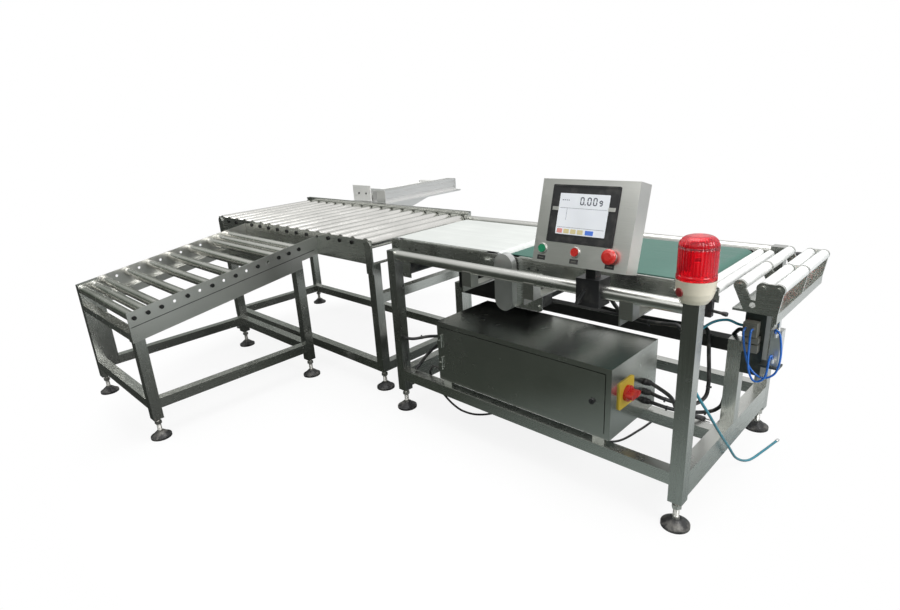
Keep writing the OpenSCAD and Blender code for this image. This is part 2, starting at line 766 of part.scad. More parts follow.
// Cabinet: open at the front, with a rim that the door closes against
module cabinet_body() color("silver") at_line() translate([cab_x, 0, cab_z]) {
    difference() {
        cube([cab_w, cab_d, cab_h]);
        translate([cab_t, cab_t, cab_t]) cube([cab_w - 2 * cab_t, cab_d - 2 * cab_t, cab_h - 2 * cab_t]);
        translate([door_rim, -over, door_rim])
            cube([cab_w - 2 * door_rim, cab_t + 2 * over, cab_h - 2 * door_rim]);
        translate([cab_w - cab_t - over, switch_y, switch_up]) bar_x(stem_d, cab_t + 2 * over);
    }
    for (x = [door_rim, cab_w - door_rim - cab_pad], y = [cab_t, support_y - half / 2])
        translate([x, y, -cab_foot]) cube([cab_pad, half * 0.8, cab_foot]);
    // Fixed knuckles of the door hinges
    for (z = hinge_places()) translate([door_axis_x - cab_x, door_axis_y, z]) {
        cylinder(r = hinge_r, h = hinge_len / 2 - seat);
        translate([-hinge_r - hinge_leaf, -seat, 0]) cube([hinge_leaf + hinge_r, hinge_r, hinge_len / 2 - seat]);
        translate([-hinge_r - hinge_leaf, 0, 0])
            cube([hinge_leaf - door_gap - seat, -door_axis_y, hinge_len / 2 - seat]);
    }
    // Mounting plate with power supply, terminals and relays
    translate([door_rim, cab_d - cab_t - seat - cab_board, door_rim])
        cube([cab_w - 2 * door_rim, cab_board, cab_h - 2 * door_rim]);
    for (k = [0:len(device_shares) - 1]) translate([device_shares[k][0] * cab_w,
        cab_d - cab_t - cab_board - device_shares[k][1] * cab_d, cab_h * 0.3])
        cube([device_shares[k][2] * cab_w, device_shares[k][1] * cab_d, cab_h * 0.42]);
}

// Lower ends of the two hinges above the base of the cabinet
function hinge_places() = [for (share = [0.2, 0.58]) share * cab_h];

// Door: a tray with folded edges and the moving knuckles of its hinges
module cabinet_door() color("silver") at_line() translate([door_left, -cab_t, cab_z + door_rim + door_gap]) {
    w = cab_w - 2 * (door_rim + door_gap);
    h = cab_h - 2 * (door_rim + door_gap);
    difference() {
        cube([w, cab_t + door_flange, h]);
        translate([cab_t, cab_t, cab_t]) cube([w - 2 * cab_t, door_flange + over, h - 2 * cab_t]);
        translate([w - lock_in, -over, h / 2]) bar_y(lock_d * 0.6 + 2 * stem_gap, cab_t + 2 * over);
    }
    for (z = hinge_places()) translate([hinge_r, door_axis_y + cab_t, z - door_rim - door_gap + hinge_len / 2]) {
        cylinder(r = hinge_r, h = hinge_len / 2);
        cube([hinge_r, -cab_t - door_axis_y, hinge_len / 2]);
    }
}

// Quarter turn lock: slotted head, barrel through the door, and a cam behind its folded edge
module door_lock() color("black") at_line()
    translate([cab_x + cab_w - door_rim - door_gap - lock_in, -cab_t, cab_z + cab_h / 2]) {
        difference() {
            translate([0, -lock_h - seat, 0]) bar_y(lock_d, lock_h);
            translate([-lock_d * 0.08, -lock_h - over, -lock_d * 0.3])
                cube([lock_d * 0.16, lock_h * 0.4 + over, lock_d * 0.6]);
        }
        translate([0, -seat, 0]) bar_y(lock_d * 0.6, cab_t + door_flange + 2 * seat + cam_t);
        translate([-cam_w / 2, cab_t + door_flange + seat, -lock_in - cam_w])
            cube([cam_w, cam_t, lock_in + cam_w]);
    }

module switch_plate() color("yellow") at_line() translate([cab_x + cab_w, switch_y, cab_z + switch_up])
    difference() {
        translate([0, -switch_w / 2, -switch_w / 2]) rotate([90, 0, 90]) linear_extrude(switch_t)
            rounded(switch_w, switch_w, corner_r / 2);
        translate([-over, 0, 0]) bar_x(stem_d, switch_t + 2 * over);
    }

// Rotary handle: disc, grip bar and a shaft through the plate
module switch_handle() color("red") at_line()
    translate([cab_x + cab_w + switch_t + seat, switch_y, cab_z + switch_up]) {
        bar_x(handle_d * 1.3, handle_d * 0.24);
        translate([handle_d * 0.2, 0, 0]) rotate([90, 0, 90]) linear_extrude(handle_d * 0.55)
            translate([-handle_d * 0.5, 0]) stadium(handle_d, handle_d * 0.22);
        translate([-switch_t - seat - cab_t - over, 0, 0])
            bar_x(stem_d - 2 * stem_gap, switch_t + cab_t + 2 * over);
    }

// Operator panel: children lie in the plane of its front face
module on_panel() at_line() translate([panel_x, -panel_fore, rail_z + panel_rise])
    rotate([90 - panel_lean, 0, 0]) children();

// Clamp round the front rail with its lever and cable outlet, and the post up to the box
module panel_arm() color("black") {
    at_line() rail_clamp(panel_x + panel_w / 2);
    on_panel() translate([(panel_w - clamp_w) / 2, clamp_h / 8, -panel_t - arm_plate_t])
        cube([clamp_w, clamp_h, arm_plate_t]);
}
module rail_clamp(x) translate([x, 0, rail_z]) {
    difference() {
        union() {
            translate([-clamp_w / 2, -clamp_t / 2, -clamp_h / 2]) cube([clamp_w, clamp_t, clamp_h]);
            translate([-post_w / 2, -post_w / 2, 0]) cube([post_w, post_w, post_rise]);
            translate([clamp_w / 6, clamp_t / 2, 0]) bar_y(outlet_d, outlet_len);
        }
        translate([-clamp_w, 0, 0]) bar_x(rail_d + 2 * rail_clear, 2 * clamp_w);
    }
    translate([-clamp_w * 0.3, -clamp_t / 2 - lever_len * 0.4, -clamp_h * 0.36]) {
        bar_y(spindle_d / 2, lever_len * 0.4);
        rotate([0, -60, 0]) bar_x(spindle_d * 0.6, lever_len);
    }
}

// Sheet box with the rings and openings of the three buttons
module panel_box() color("silver") on_panel() difference() {
    union() {
        translate([0, 0, -panel_t]) cube([panel_w, panel_h, panel_t]);
        for (x = [start_in, stop_in, emergency_in]) translate([x, button_up, 0])
            cylinder(d = ring_d, h = ring_h);
    }
    translate([cab_t, cab_t, cab_t - panel_t])
        cube([panel_w - 2 * cab_t, panel_h - 2 * cab_t, panel_t - 2 * cab_t]);
    for (x = [start_in, stop_in]) translate([x, button_up, -cab_t - over])
        cylinder(d = button_d + 2 * stem_gap, h = cab_t + ring_h + 2 * over);
    translate([emergency_in, button_up, -cab_t - over])
        cylinder(d = stem_d + 2 * stem_gap, h = cab_t + ring_h + 2 * over);
}

module display() color("black") on_panel() translate([bezel_left, bezel_up, 0]) {
    linear_extrude(bezel_t) rounded(bezel_w, bezel_h, corner_r / 3);
    translate([(bezel_w - screen_w) / 2, (bezel_h - screen_h) / 2, bezel_t])
        cube([screen_w, screen_h, screen_t]);
}

module push_button(x) on_panel() translate([x, button_up, ring_h - stem_len])
    cylinder(d = button_d, h = stem_len + button_h - ring_h);
module start_button() color("green") push_button(start_in);
module stop_button() color("red") push_button(stop_in);
module emergency_button() color("red") on_panel() translate([emergency_in, button_up, ring_h + mushroom_gap]) {
    translate([0, 0, -stem_len]) cylinder(d = stem_d, h = stem_len);
    rotate_extrude() polygon([[0, 0], [mushroom_d * 0.4, 0], [mushroom_d / 2, mushroom_h * 0.35],
        [mushroom_d / 2, mushroom_h * 0.6], [mushroom_d * 0.42, mushroom_h * 0.85],
        [mushroom_d * 0.25, mushroom_h], [0, mushroom_h]]);
}

// Beacon on the front right leg
module on_beacon() at_line() translate([main_len, 0, leg_top]) children();
module beacon_base() color("ivory") on_beacon() {
    rotate_extrude() polygon([[0, 0], [beacon_d * 0.34, 0], [beacon_d * 0.42, beacon_base_h * 0.2],
        [beacon_d * 0.47, beacon_base_h * 0.45], [beacon_d / 2, beacon_base_h], [0, beacon_base_h]]);
    translate([0, 0, beacon_base_h]) cylinder(d = lamp_d, h = lamp_h);
    rotate([0, 0, -120]) translate([beacon_d * 0.42, 0, beacon_base_h / 2]) bar_x(disc_d, beacon_d * 0.08);
}
module beacon_dome() color("red", 0.6) on_beacon() translate([0, 0, beacon_base_h]) rotate_extrude()
    difference() {
        dome_outline(beacon_d / 2, dome_h);
        dome_outline(beacon_d / 2 - dome_t, dome_h - dome_t);
    }
module dome_outline(r, h) {
    crown = r * 0.55;
    square([r, h - crown]);
    square([r - crown, h]);
    translate([r - crown, h - crown]) intersection() {
        circle(crown);
        square(crown);
    }
}

// Reflector that turns round the lamp: a ring foot and a curved mirror
module beacon_reflector() color("silver") on_beacon() translate([0, 0, beacon_base_h + seat]) {
    difference() {
        cylinder(r = mirror_r, h = mirror_foot);
        translate([0, 0, -over]) cylinder(d = lamp_d + 2 * stem_gap, h = mirror_foot + 2 * over);
    }
    rotate_extrude(angle = 150) translate([mirror_r - dome_t, 0]) square([dome_t, mirror_h]);
}

// Two transfer rollers between the infeed belt and the cradle
module transfer_rollers() color("white") at_line() for (k = [0, 1])
    translate([transfer_1 + k * transfer_pitch, conv_y, level - transfer_d / 2]) {
        translate([0, plate_t + seat, 0]) bar_y(transfer_d, conv_wid - 2 * plate_t - 2 * seat);
        translate([0, -bolt_h, 0]) bar_y(transfer_pin - 2 * run_fit, conv_wid + 2 * bolt_h);
    }

// Column of the cradle: a folded channel with two lugs, their hinge pin and a cylinder bracket
module cradle_column() color("dimgray") at_line() {
    y0 = centre_y - half;
    difference() {
        block([column_x, y0, column_low], [column_x + column_w, y0 + column_d, column_top]);
        block([column_x + base_t, y0 + base_t, column_low - over],
            [column_x + column_w - base_t, y0 + column_d + over, column_top - base_t]);
    }
    for (y = [y0, y0 + column_d - lug_t]) translate([hinge_x, y, hinge_z]) {
        bar_y(2 * lug_r, lug_t);
        block([-lug_r, 0, column_top - hinge_z], [lug_r, lug_t, 0]);
    }
    translate([hinge_x, y0 - pin_head, hinge_z]) bar_y(hinge_d, column_d + 2 * pin_head);
    block([column_x + column_w, cyl_y - cyl_w * 0.7, cyl_low - base_t],
        [cyl_x + cyl_w * 0.6, cyl_y + cyl_w * 0.7, cyl_low]);
}

// V plate: one arm with a single roller, one broad arm with two
module vee_outline() {
    for (x = [arm_1, arm_2, arm_3]) translate([x, arm_z]) circle(arm_r);
    notch_z = base_z + arm_r * 1.9;
    polygon([[arm_1 - arm_r * 0.9, arm_z - arm_r * 0.4], [arm_1 + arm_r * 0.9, arm_z - arm_r * 0.3],
        [arm_1 + arm_r * 2, notch_z], [arm_2 - arm_r * 0.9, notch_z], [arm_2 - arm_r * 0.9, arm_z],
        [arm_2, arm_z + arm_r * 0.9], [arm_3, arm_z + arm_r * 0.9], [arm_3 + arm_r * 0.9, arm_z],
        [base_x + base_w, base_z - base_t / 2], [arm_1 + arm_r, base_z - base_t / 2]]);
}

module cradle_frame() color("silver") at_line() {
    y0 = centre_y - half + lug_t + seat;
    for (k = [0:2]) translate([0, cradle_front + k * bay_len, 0]) difference() {
        upright(vee_t) vee_outline();
        translate([(arm_2 + arm_1 + arm_r) / 2, -over, base_z + arm_r]) bar_y(arm_r, vee_t + 2 * over);
    }
    for (x = [arm_1, arm_2, arm_3]) translate([x, cradle_front - bolt_h, arm_z]) bar_y(bolt_head, bolt_h);
    block([base_x, cradle_front, base_z - base_t], [base_x + base_w, cradle_front + cradle_len, base_z]);
    block([base_x + base_w - base_t, cradle_front, base_z - lip_h],
        [base_x + base_w, cradle_front + cradle_len, base_z]);
    difference() {
        union() {
            translate([hinge_x, y0, hinge_z]) bar_y(2 * lug_r, knuckle_len);
            block([hinge_x - base_left, y0, hinge_z],
                [hinge_x + lug_r, y0 + knuckle_len, base_z - base_t / 2]);
        }
        translate([hinge_x, y0 - over, hinge_z]) bar_y(hinge_d + 2 * run_fit, knuckle_len + 2 * over);
    }
}

module cradle_rollers() color("white") at_line() for (k = [0, 1], x = [arm_1, arm_2, arm_3])
    translate([x, cradle_front + vee_t + k * bay_len, arm_z]) {
        translate([0, cap_gap, 0]) bar_y(cradle_roller_d, bay_len - vee_t - 2 * cap_gap);
        bar_y(axle_d, bay_len - vee_t);
    }

// Air cylinder with its two elbows; the rod slides in the bore
module cylinder_body() color("lightgray") at_line() translate([cyl_x, cyl_y, cyl_low]) difference() {
    union() {
        translate([-cyl_w / 2, -cyl_w / 2, 0]) linear_extrude(cyl_len) rounded(cyl_w, cyl_w, base_t / 2);
        for (share = [0.15, 0.85]) translate([0, -cyl_w * 0.9, share * cyl_len]) {
            bar_y(elbow_d, cyl_w);
            cylinder(d = elbow_d, h = elbow_d);
        }
    }
    translate([0, 0, cyl_len - stroke_room]) cylinder(d = rod_d + 2 * run_fit, h = stroke_room + over);
}
module cylinder_rod() color("silver") at_line() translate([cyl_x, cyl_y, 0]) {
    low = cyl_low + cyl_len - stroke_room / 2;
    translate([0, 0, low]) cylinder(d = rod_d, h = rod_rise - low);
    translate([0, 0, rod_rise - rod_d]) hex_head(2 * rod_d, rod_d);
}

// Solenoid valve on the column: body with ports, and its coils below
module valve_block() color("gray") at_line()
    translate([column_x + valve_in, centre_y - half, cyl_low + cyl_len * 0.28]) {
        block([0, -valve_t, valve_w * 1.3], [valve_w, 0, valve_w * 2.4]);
        for (share = [0.25, 0.75]) translate([share * valve_w, -valve_t - elbow_d / 2, valve_w * 2])
            bar_y(elbow_d * 0.8, elbow_d);
        block([0, -valve_t * 0.9, valve_w * 0.75], [valve_w * 1.15, 0, valve_w * 1.2]);
        block([0, -valve_t * 0.9, 0], [valve_w * 1.15, 0, valve_w * 0.65]);
        block([valve_w * 0.2, -valve_t * 0.4, valve_w / 2], [valve_w * 0.9, 0, valve_w * 1.4]);
    }

// Roller table: channel rails open inwards, the guide profile on the rear one
module channel_rail(flip) mirror([0, flip, 0]) difference() {
    union() {
        cube([table_len + tube_w, side_t, side_h]);
        cube([table_len + tube_w, flange_w, side_t]);
    }
    for (i = [0:roller_count - 1]) translate([roller_first + i * roller_pitch, -over, roller_z - side_z])
        bar_y(axle_d + 2 * axle_fit, side_t + 2 * over);
}
module guide_profile() rotate([90, 0, 90]) linear_extrude(table_len + tube_w) difference() {
    square([guide_w, guide_h]);
    for (share = [0.25, 0.7]) translate([-over, share * guide_h - guide_w / 8])
        square([guide_w / 4 + over, guide_w / 4]);
    translate([guide_w * 0.45, guide_h - guide_w / 4]) square([guide_w / 4, guide_w]);
}
module table_rails() color("silver") at_line() translate([table_left - half, 0, side_z]) {
    translate([0, table_y - half, 0]) channel_rail(0);
    translate([0, table_far + half, 0]) channel_rail(1);
    translate([0, table_far + half, guide_z - side_z]) guide_profile();
    for (x = [0, table_len + tube_w - flange_w]) translate([x, table_y - half + flange_w + seat, 0])
        cube([flange_w, table_wid + tube_w - 2 * flange_w - 2 * seat, side_t]);
}

// Fixed axles of the roller table; a bolt head outside the front rail where no head plate covers it
module table_axles() color("silver") at_line() for (i = [0:roller_count - 1]) {
    x = table_left - half + roller_first + i * roller_pitch;
    translate([x, table_y - half, roller_z]) {
        bar_y(axle_d, table_wid + tube_w);
        if (min(x - table_left, table_x - x) > half + bolt_head
            && min(abs(x - slope_left), abs(x - slope_right)) > tube_w) translate([0, -bolt_h, 0])
            bar_y(bolt_head + side_t, bolt_h);
    }
}

// Roller: a thin tube with a bearing cap at each end, bored for its axle
module roller(d, len) difference() {
    cylinder(d = d, h = len);
    translate([0, 0, cap_len]) cylinder(d = d - 2 * tube_wall, h = len - 2 * cap_len);
    translate([0, 0, -over]) cylinder(d = axle_d + 2 * run_fit, h = len + 2 * over);
}
module table_rollers() color("gainsboro") at_line() for (i = [0:roller_count - 1])
    translate([table_left - half + roller_first + i * roller_pitch, table_y - half + side_t + cap_gap, roller_z])
        rotate([-90, 0, 0]) roller(roller_d, table_wid + tube_w - 2 * side_t - 2 * cap_gap);

// Pusher: linear unit on a folded shelf, a twin rod guide, and the plate on its rods
module pusher_unit() color("lightgray") at_line() {
    translate([unit_x, unit_y, unit_z]) {
        difference() {
            translate([0, unit_w / 8, 0]) cube([unit_w, unit_len - unit_w / 4, unit_h]);
            for (share = [0.25, 0.7]) translate([unit_w - groove, -over, share * unit_h])
                cube([groove + over, unit_len + 2 * over, groove]);
            translate([unit_w / 3, -over, unit_h - groove]) cube([unit_w / 3, unit_len + 2 * over, groove * 2]);
            translate([-over, -over, rod_up - groove]) cube([groove + over, unit_len + 2 * over, 2 * groove]);
        }
        for (y = [0, unit_len - unit_w / 8]) translate([-unit_out, y, 0])
            cube([unit_w + 2 * unit_out, unit_w / 8, unit_h]);
    }
    block([push_x - shelf_t, shelf_y, unit_z - shelf_t], [unit_x + unit_w * 1.6, unit_y + unit_len, unit_z]);
    block([push_x - shelf_t, shelf_y, side_z + flange_w],
        [unit_x + unit_w * 1.6, shelf_y + shelf_t, unit_z]);
    for (x = [push_x + flange_w, unit_x + unit_w]) {
        block([x, table_far + half, side_z + flange_w], [x + tube_w, shelf_y, guide_z - seat]);
        translate([x + half, shelf_y, 0]) rotate([90, 0, 90]) linear_extrude(shelf_t)
            polygon([[0, side_z + flange_w], [unit_len * 0.6, unit_z - shelf_t], [0, unit_z - shelf_t]]);
    }
    difference() {
        block([push_x + rod_in - guide_rod, unit_y + push_gap, unit_z],
            [push_x + push_w - rod_in + guide_rod, unit_y + push_gap + guide_len, unit_z + unit_h * 0.9]);
        for (x = [rod_in, push_w - rod_in]) translate([push_x + x, unit_y, rod_z])
            bar_y(guide_rod + 2 * run_fit, unit_len);
    }
}
// Plate on two guide rods; a tie joins their rear ends and its tongue runs in the unit's side slot
module pusher_plate() color("white") at_line() {
    block([push_x, unit_y - push_gap, push_z], [push_x + push_w, unit_y - push_gap + push_t, push_z + push_h]);
    for (x = [rod_in, push_w - rod_in]) translate([push_x + x, unit_y - push_gap - bolt_h / 2, rod_z])
        bar_y(guide_rod, unit_len - unit_w / 2);
    tie_y = unit_y + unit_len - unit_w;
    block([push_x + rod_in - guide_rod, tie_y, rod_z - guide_rod],
        [unit_x - 2 * unit_out, tie_y + unit_w / 2, rod_z + guide_rod]);
    block([push_x + rod_in, tie_y, rod_z - groove + slide_gap],
        [unit_x + groove - slide_gap, tie_y + unit_w / 2, rod_z + groove - slide_gap]);
}

// Sloping table: plate rails with a row of holes, each on its sloped beam
module leaning(x, t, y0, y1, drop, h) translate([x, 0, 0]) rotate([90, 0, 90]) linear_extrude(t)
    polygon([[y0, slope_z(y0) - drop - h], [y1, slope_z(y1) - drop - h],
        [y1, slope_z(y1) - drop], [y0, slope_z(y0) - drop]]);
function hole_y(i) = slope_start + (first_hole + i * hole_pitch) * cos(slope_angle);
module slope_side(x, inward, y0) difference() {
    union() {
        leaning(inward > 0 ? x : x - side_t, side_t, y0, slope_end, 0, drilled_h);
        leaning(inward > 0 ? x : x - flange_w, flange_w, y0, slope_end, drilled_h - side_t, side_t);
        leaning(inward > 0 ? x : x - tube_w, tube_w, y0, slope_rear + half, drilled_h, slope_beam);
    }
    for (i = [0:hole_count - 1]) if (hole_y(i) > y0 + axle_d)
        translate([x - tube_w, hole_y(i), slope_z(hole_y(i)) - hole_down])
            bar_x(axle_d + 2 * axle_fit, 2 * tube_w);
}
module slope_rails() color("silver") at_line() {
    slope_side(slope_right + half, -1, slope_start);
    slope_side(slope_left - half, 1, slope_front - half + wide_post);
    // Clamp knobs on the inner face of the low right leg
    for (drop = [0.36, 0.62]) translate([slope_right - half - knob_h, slope_front, foot_h
        + drop * (slope_z(slope_front) - foot_h)]) {
        bar_x(knob_d, knob_h * 0.7);
        bar_x(bolt_d, knob_h);
    }
}
module slope_axles() color("silver") at_line() for (i = gravity_steps)
    translate([slope_left - half, hole_y(i), slope_z(hole_y(i)) - hole_down]) {
        first = hole_y(i) < slope_front - half + wide_post ? tube_w : 0;
        translate([first, 0, 0]) bar_x(axle_d, slope_wid + tube_w - first);
        translate([slope_wid + tube_w, 0, 0]) bar_x(bolt_head + side_t, bolt_h);
    }
module gravity_roller(n) color("gainsboro") at_line() {
    i = gravity_steps[n - 1];
    first = hole_y(i) < slope_front - half + wide_post + axle_d ? tube_w : side_t;
    translate([slope_left - half + first + cap_gap, hole_y(i), slope_z(hole_y(i)) - hole_down])
        rotate([0, 90, 0]) roller(gravity_d, slope_wid + tube_w - side_t - first - 2 * cap_gap);
}

// Cables along the frame with their glands on the cabinet
module gland(x, y, up, dir) translate([x, y, cab_z + up]) mirror([dir, 0, 0]) {
    bar_x(gland_d, gland_len);
    rotate([0, 90, 0]) hex_head(gland_d * 1.1, gland_len / 3);
}
module wiring() color("black") at_line() {
    for (up = right_ups) gland(cab_x + cab_w, gland_y, up, 0);
    for (k = [0:len(left_ups) - 1]) gland(cab_x, left_ys[k], left_ups[k], 1);
    for (route = wire_routes) tube(path(route, 3), wire_d, 8);
}

module air_tubes() color("blue") at_line() translate([column_x, 0, 0]) for (route = air_routes) tube(path(route, 4), air_d, 8);

// Mains lead with its plug, and the air hose with its open end
module mains_lead() color("black") at_line() tube(path(lead_route, 6), lead_d, 8);
module mains_plug() color("black") at_line() translate(lead_route[len(lead_route) - 1]) {
    translate([0, -plug_w / 2, -plug_rise]) cube([plug_len, plug_w, plug_w * 0.7]);
    for (k = [-1, 1]) translate([plug_len, k * plug_w / 4, 0]) bar_x(pin_w, plug_len / 2);
}
module air_hose() color("teal") at_line() translate([column_x, 0, 0]) tube(path(hose_route, 6), hose_d, 8, [0.37, 0.83, 0.41]);

frame_legs();
frame_beams();
rail_tubes();
foot_spindles();
foot_pads();
weigh_frame();
infeed_frame();
weigh_belt();
infeed_belt();
weigh_drive_drum();
weigh_idler_drum();
infeed_drive_drum();
infeed_idler_drum();
load_cell();
load_cell_housing();
drive_motors();
belt_cover();
cabinet_body();
cabinet_door();
door_lock();
switch_plate();
switch_handle();
panel_arm();
panel_box();
display();
start_button();
stop_button();
emergency_button();
beacon_base();
beacon_dome();
beacon_reflector();
transfer_rollers();
cradle_column();
cradle_frame();
cradle_rollers();
cylinder_body();
cylinder_rod();
valve_block();
air_tubes();
wiring();
table_rails();
table_axles();
table_rollers();
pusher_unit();
pusher_plate();
slope_rails();
slope_axles();
gravity_roller(1);  // gravity_roller_1
gravity_roller(2);  // gravity_roller_2
gravity_roller(3);  // gravity_roller_3
gravity_roller(4);  // gravity_roller_4
gravity_roller(5);  // gravity_roller_5
gravity_roller(6);  // gravity_roller_6
gravity_roller(7);  // gravity_roller_7
gravity_roller(8);  // gravity_roller_8
gravity_roller(9);  // gravity_roller_9
gravity_roller(10);  // gravity_roller_10
mains_lead();
mains_plug();
air_hose();
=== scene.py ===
# %% [markdown]
# # A checkweigher line, dressed in Blender
# The solids of the machine come in finished and stay where they are. This file adds what a
# solid model leaves out: finishes that vary over each surface, and small fittings.
# The frame is loaded first.

import math

import bpy
import numpy as np
from mathutils import Matrix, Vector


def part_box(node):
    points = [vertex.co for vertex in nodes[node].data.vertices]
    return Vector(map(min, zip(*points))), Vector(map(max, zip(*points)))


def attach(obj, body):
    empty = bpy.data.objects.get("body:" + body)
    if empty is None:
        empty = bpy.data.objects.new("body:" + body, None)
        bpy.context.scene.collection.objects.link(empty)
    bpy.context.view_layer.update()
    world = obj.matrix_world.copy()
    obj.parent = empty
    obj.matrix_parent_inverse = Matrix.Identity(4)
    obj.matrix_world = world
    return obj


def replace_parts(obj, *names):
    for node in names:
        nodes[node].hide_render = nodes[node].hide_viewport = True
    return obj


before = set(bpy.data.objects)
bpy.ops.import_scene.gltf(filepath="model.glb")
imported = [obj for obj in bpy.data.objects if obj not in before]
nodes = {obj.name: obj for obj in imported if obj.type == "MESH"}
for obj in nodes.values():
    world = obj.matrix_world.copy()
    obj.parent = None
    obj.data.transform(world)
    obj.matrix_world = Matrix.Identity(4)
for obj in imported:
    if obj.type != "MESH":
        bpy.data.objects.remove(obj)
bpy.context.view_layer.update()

# %% [markdown]
# All places are measured from the axis of the main frame's front left leg, in millimetres, as a
# fitter would. `at` turns such a place into the machine's own metres.

# %% Places
LINE = np.array([150.5, -227.35, 0.0])


def at(points):
    """(point + offset of the leg) / 1000."""
    return (np.asarray(points, float) + LINE) / 1000.0


# %% [markdown]
# ## Camera
# The picture was taken from the right front, a little above the rails, with the camera slightly
# rolled. The lens, place and turn were solved from the straight tubes.

# %% Camera
eye = bpy.data.cameras.new("eye")
SENSOR = 36.0
WIDE, HIGH = 900, 610
FOCAL, CENTRE_X, CENTRE_Y = 574.59, 429.37, 308.01
eye.sensor_width = SENSOR
eye.lens = FOCAL / WIDE * SENSOR
eye.shift_x = (WIDE / 2 - CENTRE_X) / WIDE
eye.shift_y = (CENTRE_Y - HIGH / 2) / WIDE
eye_object = bpy.data.objects.new("eye", eye)
turn = np.array([[0.70444, -0.18336, 0.68567],
                 [0.70672, 0.27060, -0.65370],
                 [-0.06568, 0.94507, 0.32020]])
place = np.eye(4)
place[:3, :3] = turn
place[:3, 3] = at([1649.13, -1405.64, 1160.56])
eye_object.matrix_world = Matrix(place.tolist())
bpy.context.collection.objects.link(eye_object)
bpy.context.scene.camera = eye_object
print("camera at", place[:3, 3].round(3))

# %% [markdown]
# ## Surfaces from arrays
# Every added piece is made of grids of points worked out with numpy. A grid is closed round one
# way, like a tube, and its two ends are shut with one face each, or joined to make a ring.

# %% Grid to mesh
def joined(name, grids, finish, body="frame", smooth=True, loop=False):
    """Several closed grids in one piece: rows run along, columns run round, faces join neighbours.

    With loop the last row joins the first, as in a ring; without it both ends are shut.
    """
    verts, faces, flags, base = [], [], [], 0
    for points in grids:
        rows, cols = points.shape[:2]
        index = np.arange(rows * cols).reshape(rows, cols) + base
        if loop:
            index = np.vstack([index, index[:1]])
        nxt = np.roll(index, -1, axis=1)
        quads = np.stack([index[:-1], nxt[:-1], nxt[1:], index[1:]], -1).reshape(-1, 4)
        faces += quads.tolist()
        flags += [smooth] * len(quads)
        if not loop:
            faces += [index[0, ::-1].tolist(), index[-1].tolist()]
            flags += [False, False]
        verts.append(points.reshape(-1, 3))
        base += rows * cols
    mesh = bpy.data.meshes.new(name)
    mesh.from_pydata(np.concatenate(verts), [], faces)
    mesh.polygons.foreach_set("use_smooth", flags)
    mesh.materials.append(finish)
    piece = bpy.data.objects.new(name, mesh)
    bpy.context.collection.objects.link(piece)
    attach(piece, body)
    print(name, "faces:", len(faces))
    return piece


# %% [markdown]
# A path is smoothed with cubic pieces that pass through every chosen point. A tube carries a
# circle along it, turned by the path's heading and one steady side direction.

# %% Paths and tubes
def path(points, steps):
    """Between points b and c: half of (2b + (c-a)t + (2a-5b+4c-d)t^2 + (3b-a-3c+d)t^3)."""
    p = np.asarray(points, float)
    a, b = np.vstack([p[:1], p[:-2]]), p[:-1]
    c, d = p[1:], np.vstack([p[2:], p[-1:]])
    t = (np.arange(steps) / steps)[None, :, None]
    a, b, c, d = a[:, None], b[:, None], c[:, None], d[:, None]
    q = 0.5 * (2 * b + (c - a) * t + (2 * a - 5 * b + 4 * c - d) * t ** 2 + (3 * b - a - 3 * c + d) * t ** 3)
    return np.vstack([q.reshape(-1, 3), p[-1:]])


def tube(line, radius, sides=12, side=(0.83, 0.41, 0.37)):
    """Centre + radius * (u cos s + v sin s), with u and v square to the heading."""
    way = np.gradient(line, axis=0)
    way /= np.linalg.norm(way, axis=1, keepdims=True)
    u = np.cross(way, np.asarray(side, float))
    u /= np.linalg.norm(u, axis=1, keepdims=True)
    v = np.cross(way, u)
    s = 2 * np.pi * np.arange(sides) / sides
    r = np.broadcast_to(np.asarray(radius, float), len(line))[:, None, None]
    return line[:, None] + r * (u[:, None] * np.cos(s)[None, :, None] + v[:, None] * np.sin(s)[None, :, None])


def turned(profile, start, way, sides=24):
    """Profile of (distance along the way, radius) turned about the way."""
    way = np.asarray(way, float) / np.linalg.norm(way)
    u = np.cross(way, [0.3, 0.5, 0.81])
    u /= np.linalg.norm(u)
    v = np.cross(way, u)
    s = 2 * np.pi * np.arange(sides) / sides
    p = np.asarray(profile, float)
    ring = u * np.cos(s)[:, None] + v * np.sin(s)[:, None]
    return np.asarray(start, float) + p[:, :1, None] * way + p[:, 1:, None] * ring


def length_of(line):
    """Sum of the distances between neighbouring points."""
    return float(np.linalg.norm(np.diff(line, axis=0), axis=1).sum())


# %% [markdown]
# ## A finish is a sum of patterns
# `Wire` wraps one socket, so that shader maths can be written as plain sums. `Finish.node` makes
# every other node: settings first, then its sockets.

# %% Wires and finishes
class Wire:
    """One output socket that can be added, multiplied and so on."""

    def __init__(self, finish, socket):
        self.finish, self.socket = finish, socket

    def maths(self, how, *others):
        return self.finish.node("ShaderNodeMath", {"operation": how}, dict(enumerate((self,) + others)))

    def __add__(self, other):
        return self.maths("ADD", other)

    def __mul__(self, other):
        return self.maths("MULTIPLY", other)

    def __sub__(self, other):
        return self.maths("SUBTRACT", other)

    def __rsub__(self, other):
        return (self * -1.0) + other

    def __pow__(self, other):
        return self.maths("POWER", other)

    def above(self, other):
        return self.maths("GREATER_THAN", other)

    def at_most(self, other):
        return self.maths("MINIMUM", other)

    def at_least(self, other):
        return self.maths("MAXIMUM", other)

    def wave(self):
        return self.maths("SINE")

    __radd__, __rmul__ = __add__, __mul__


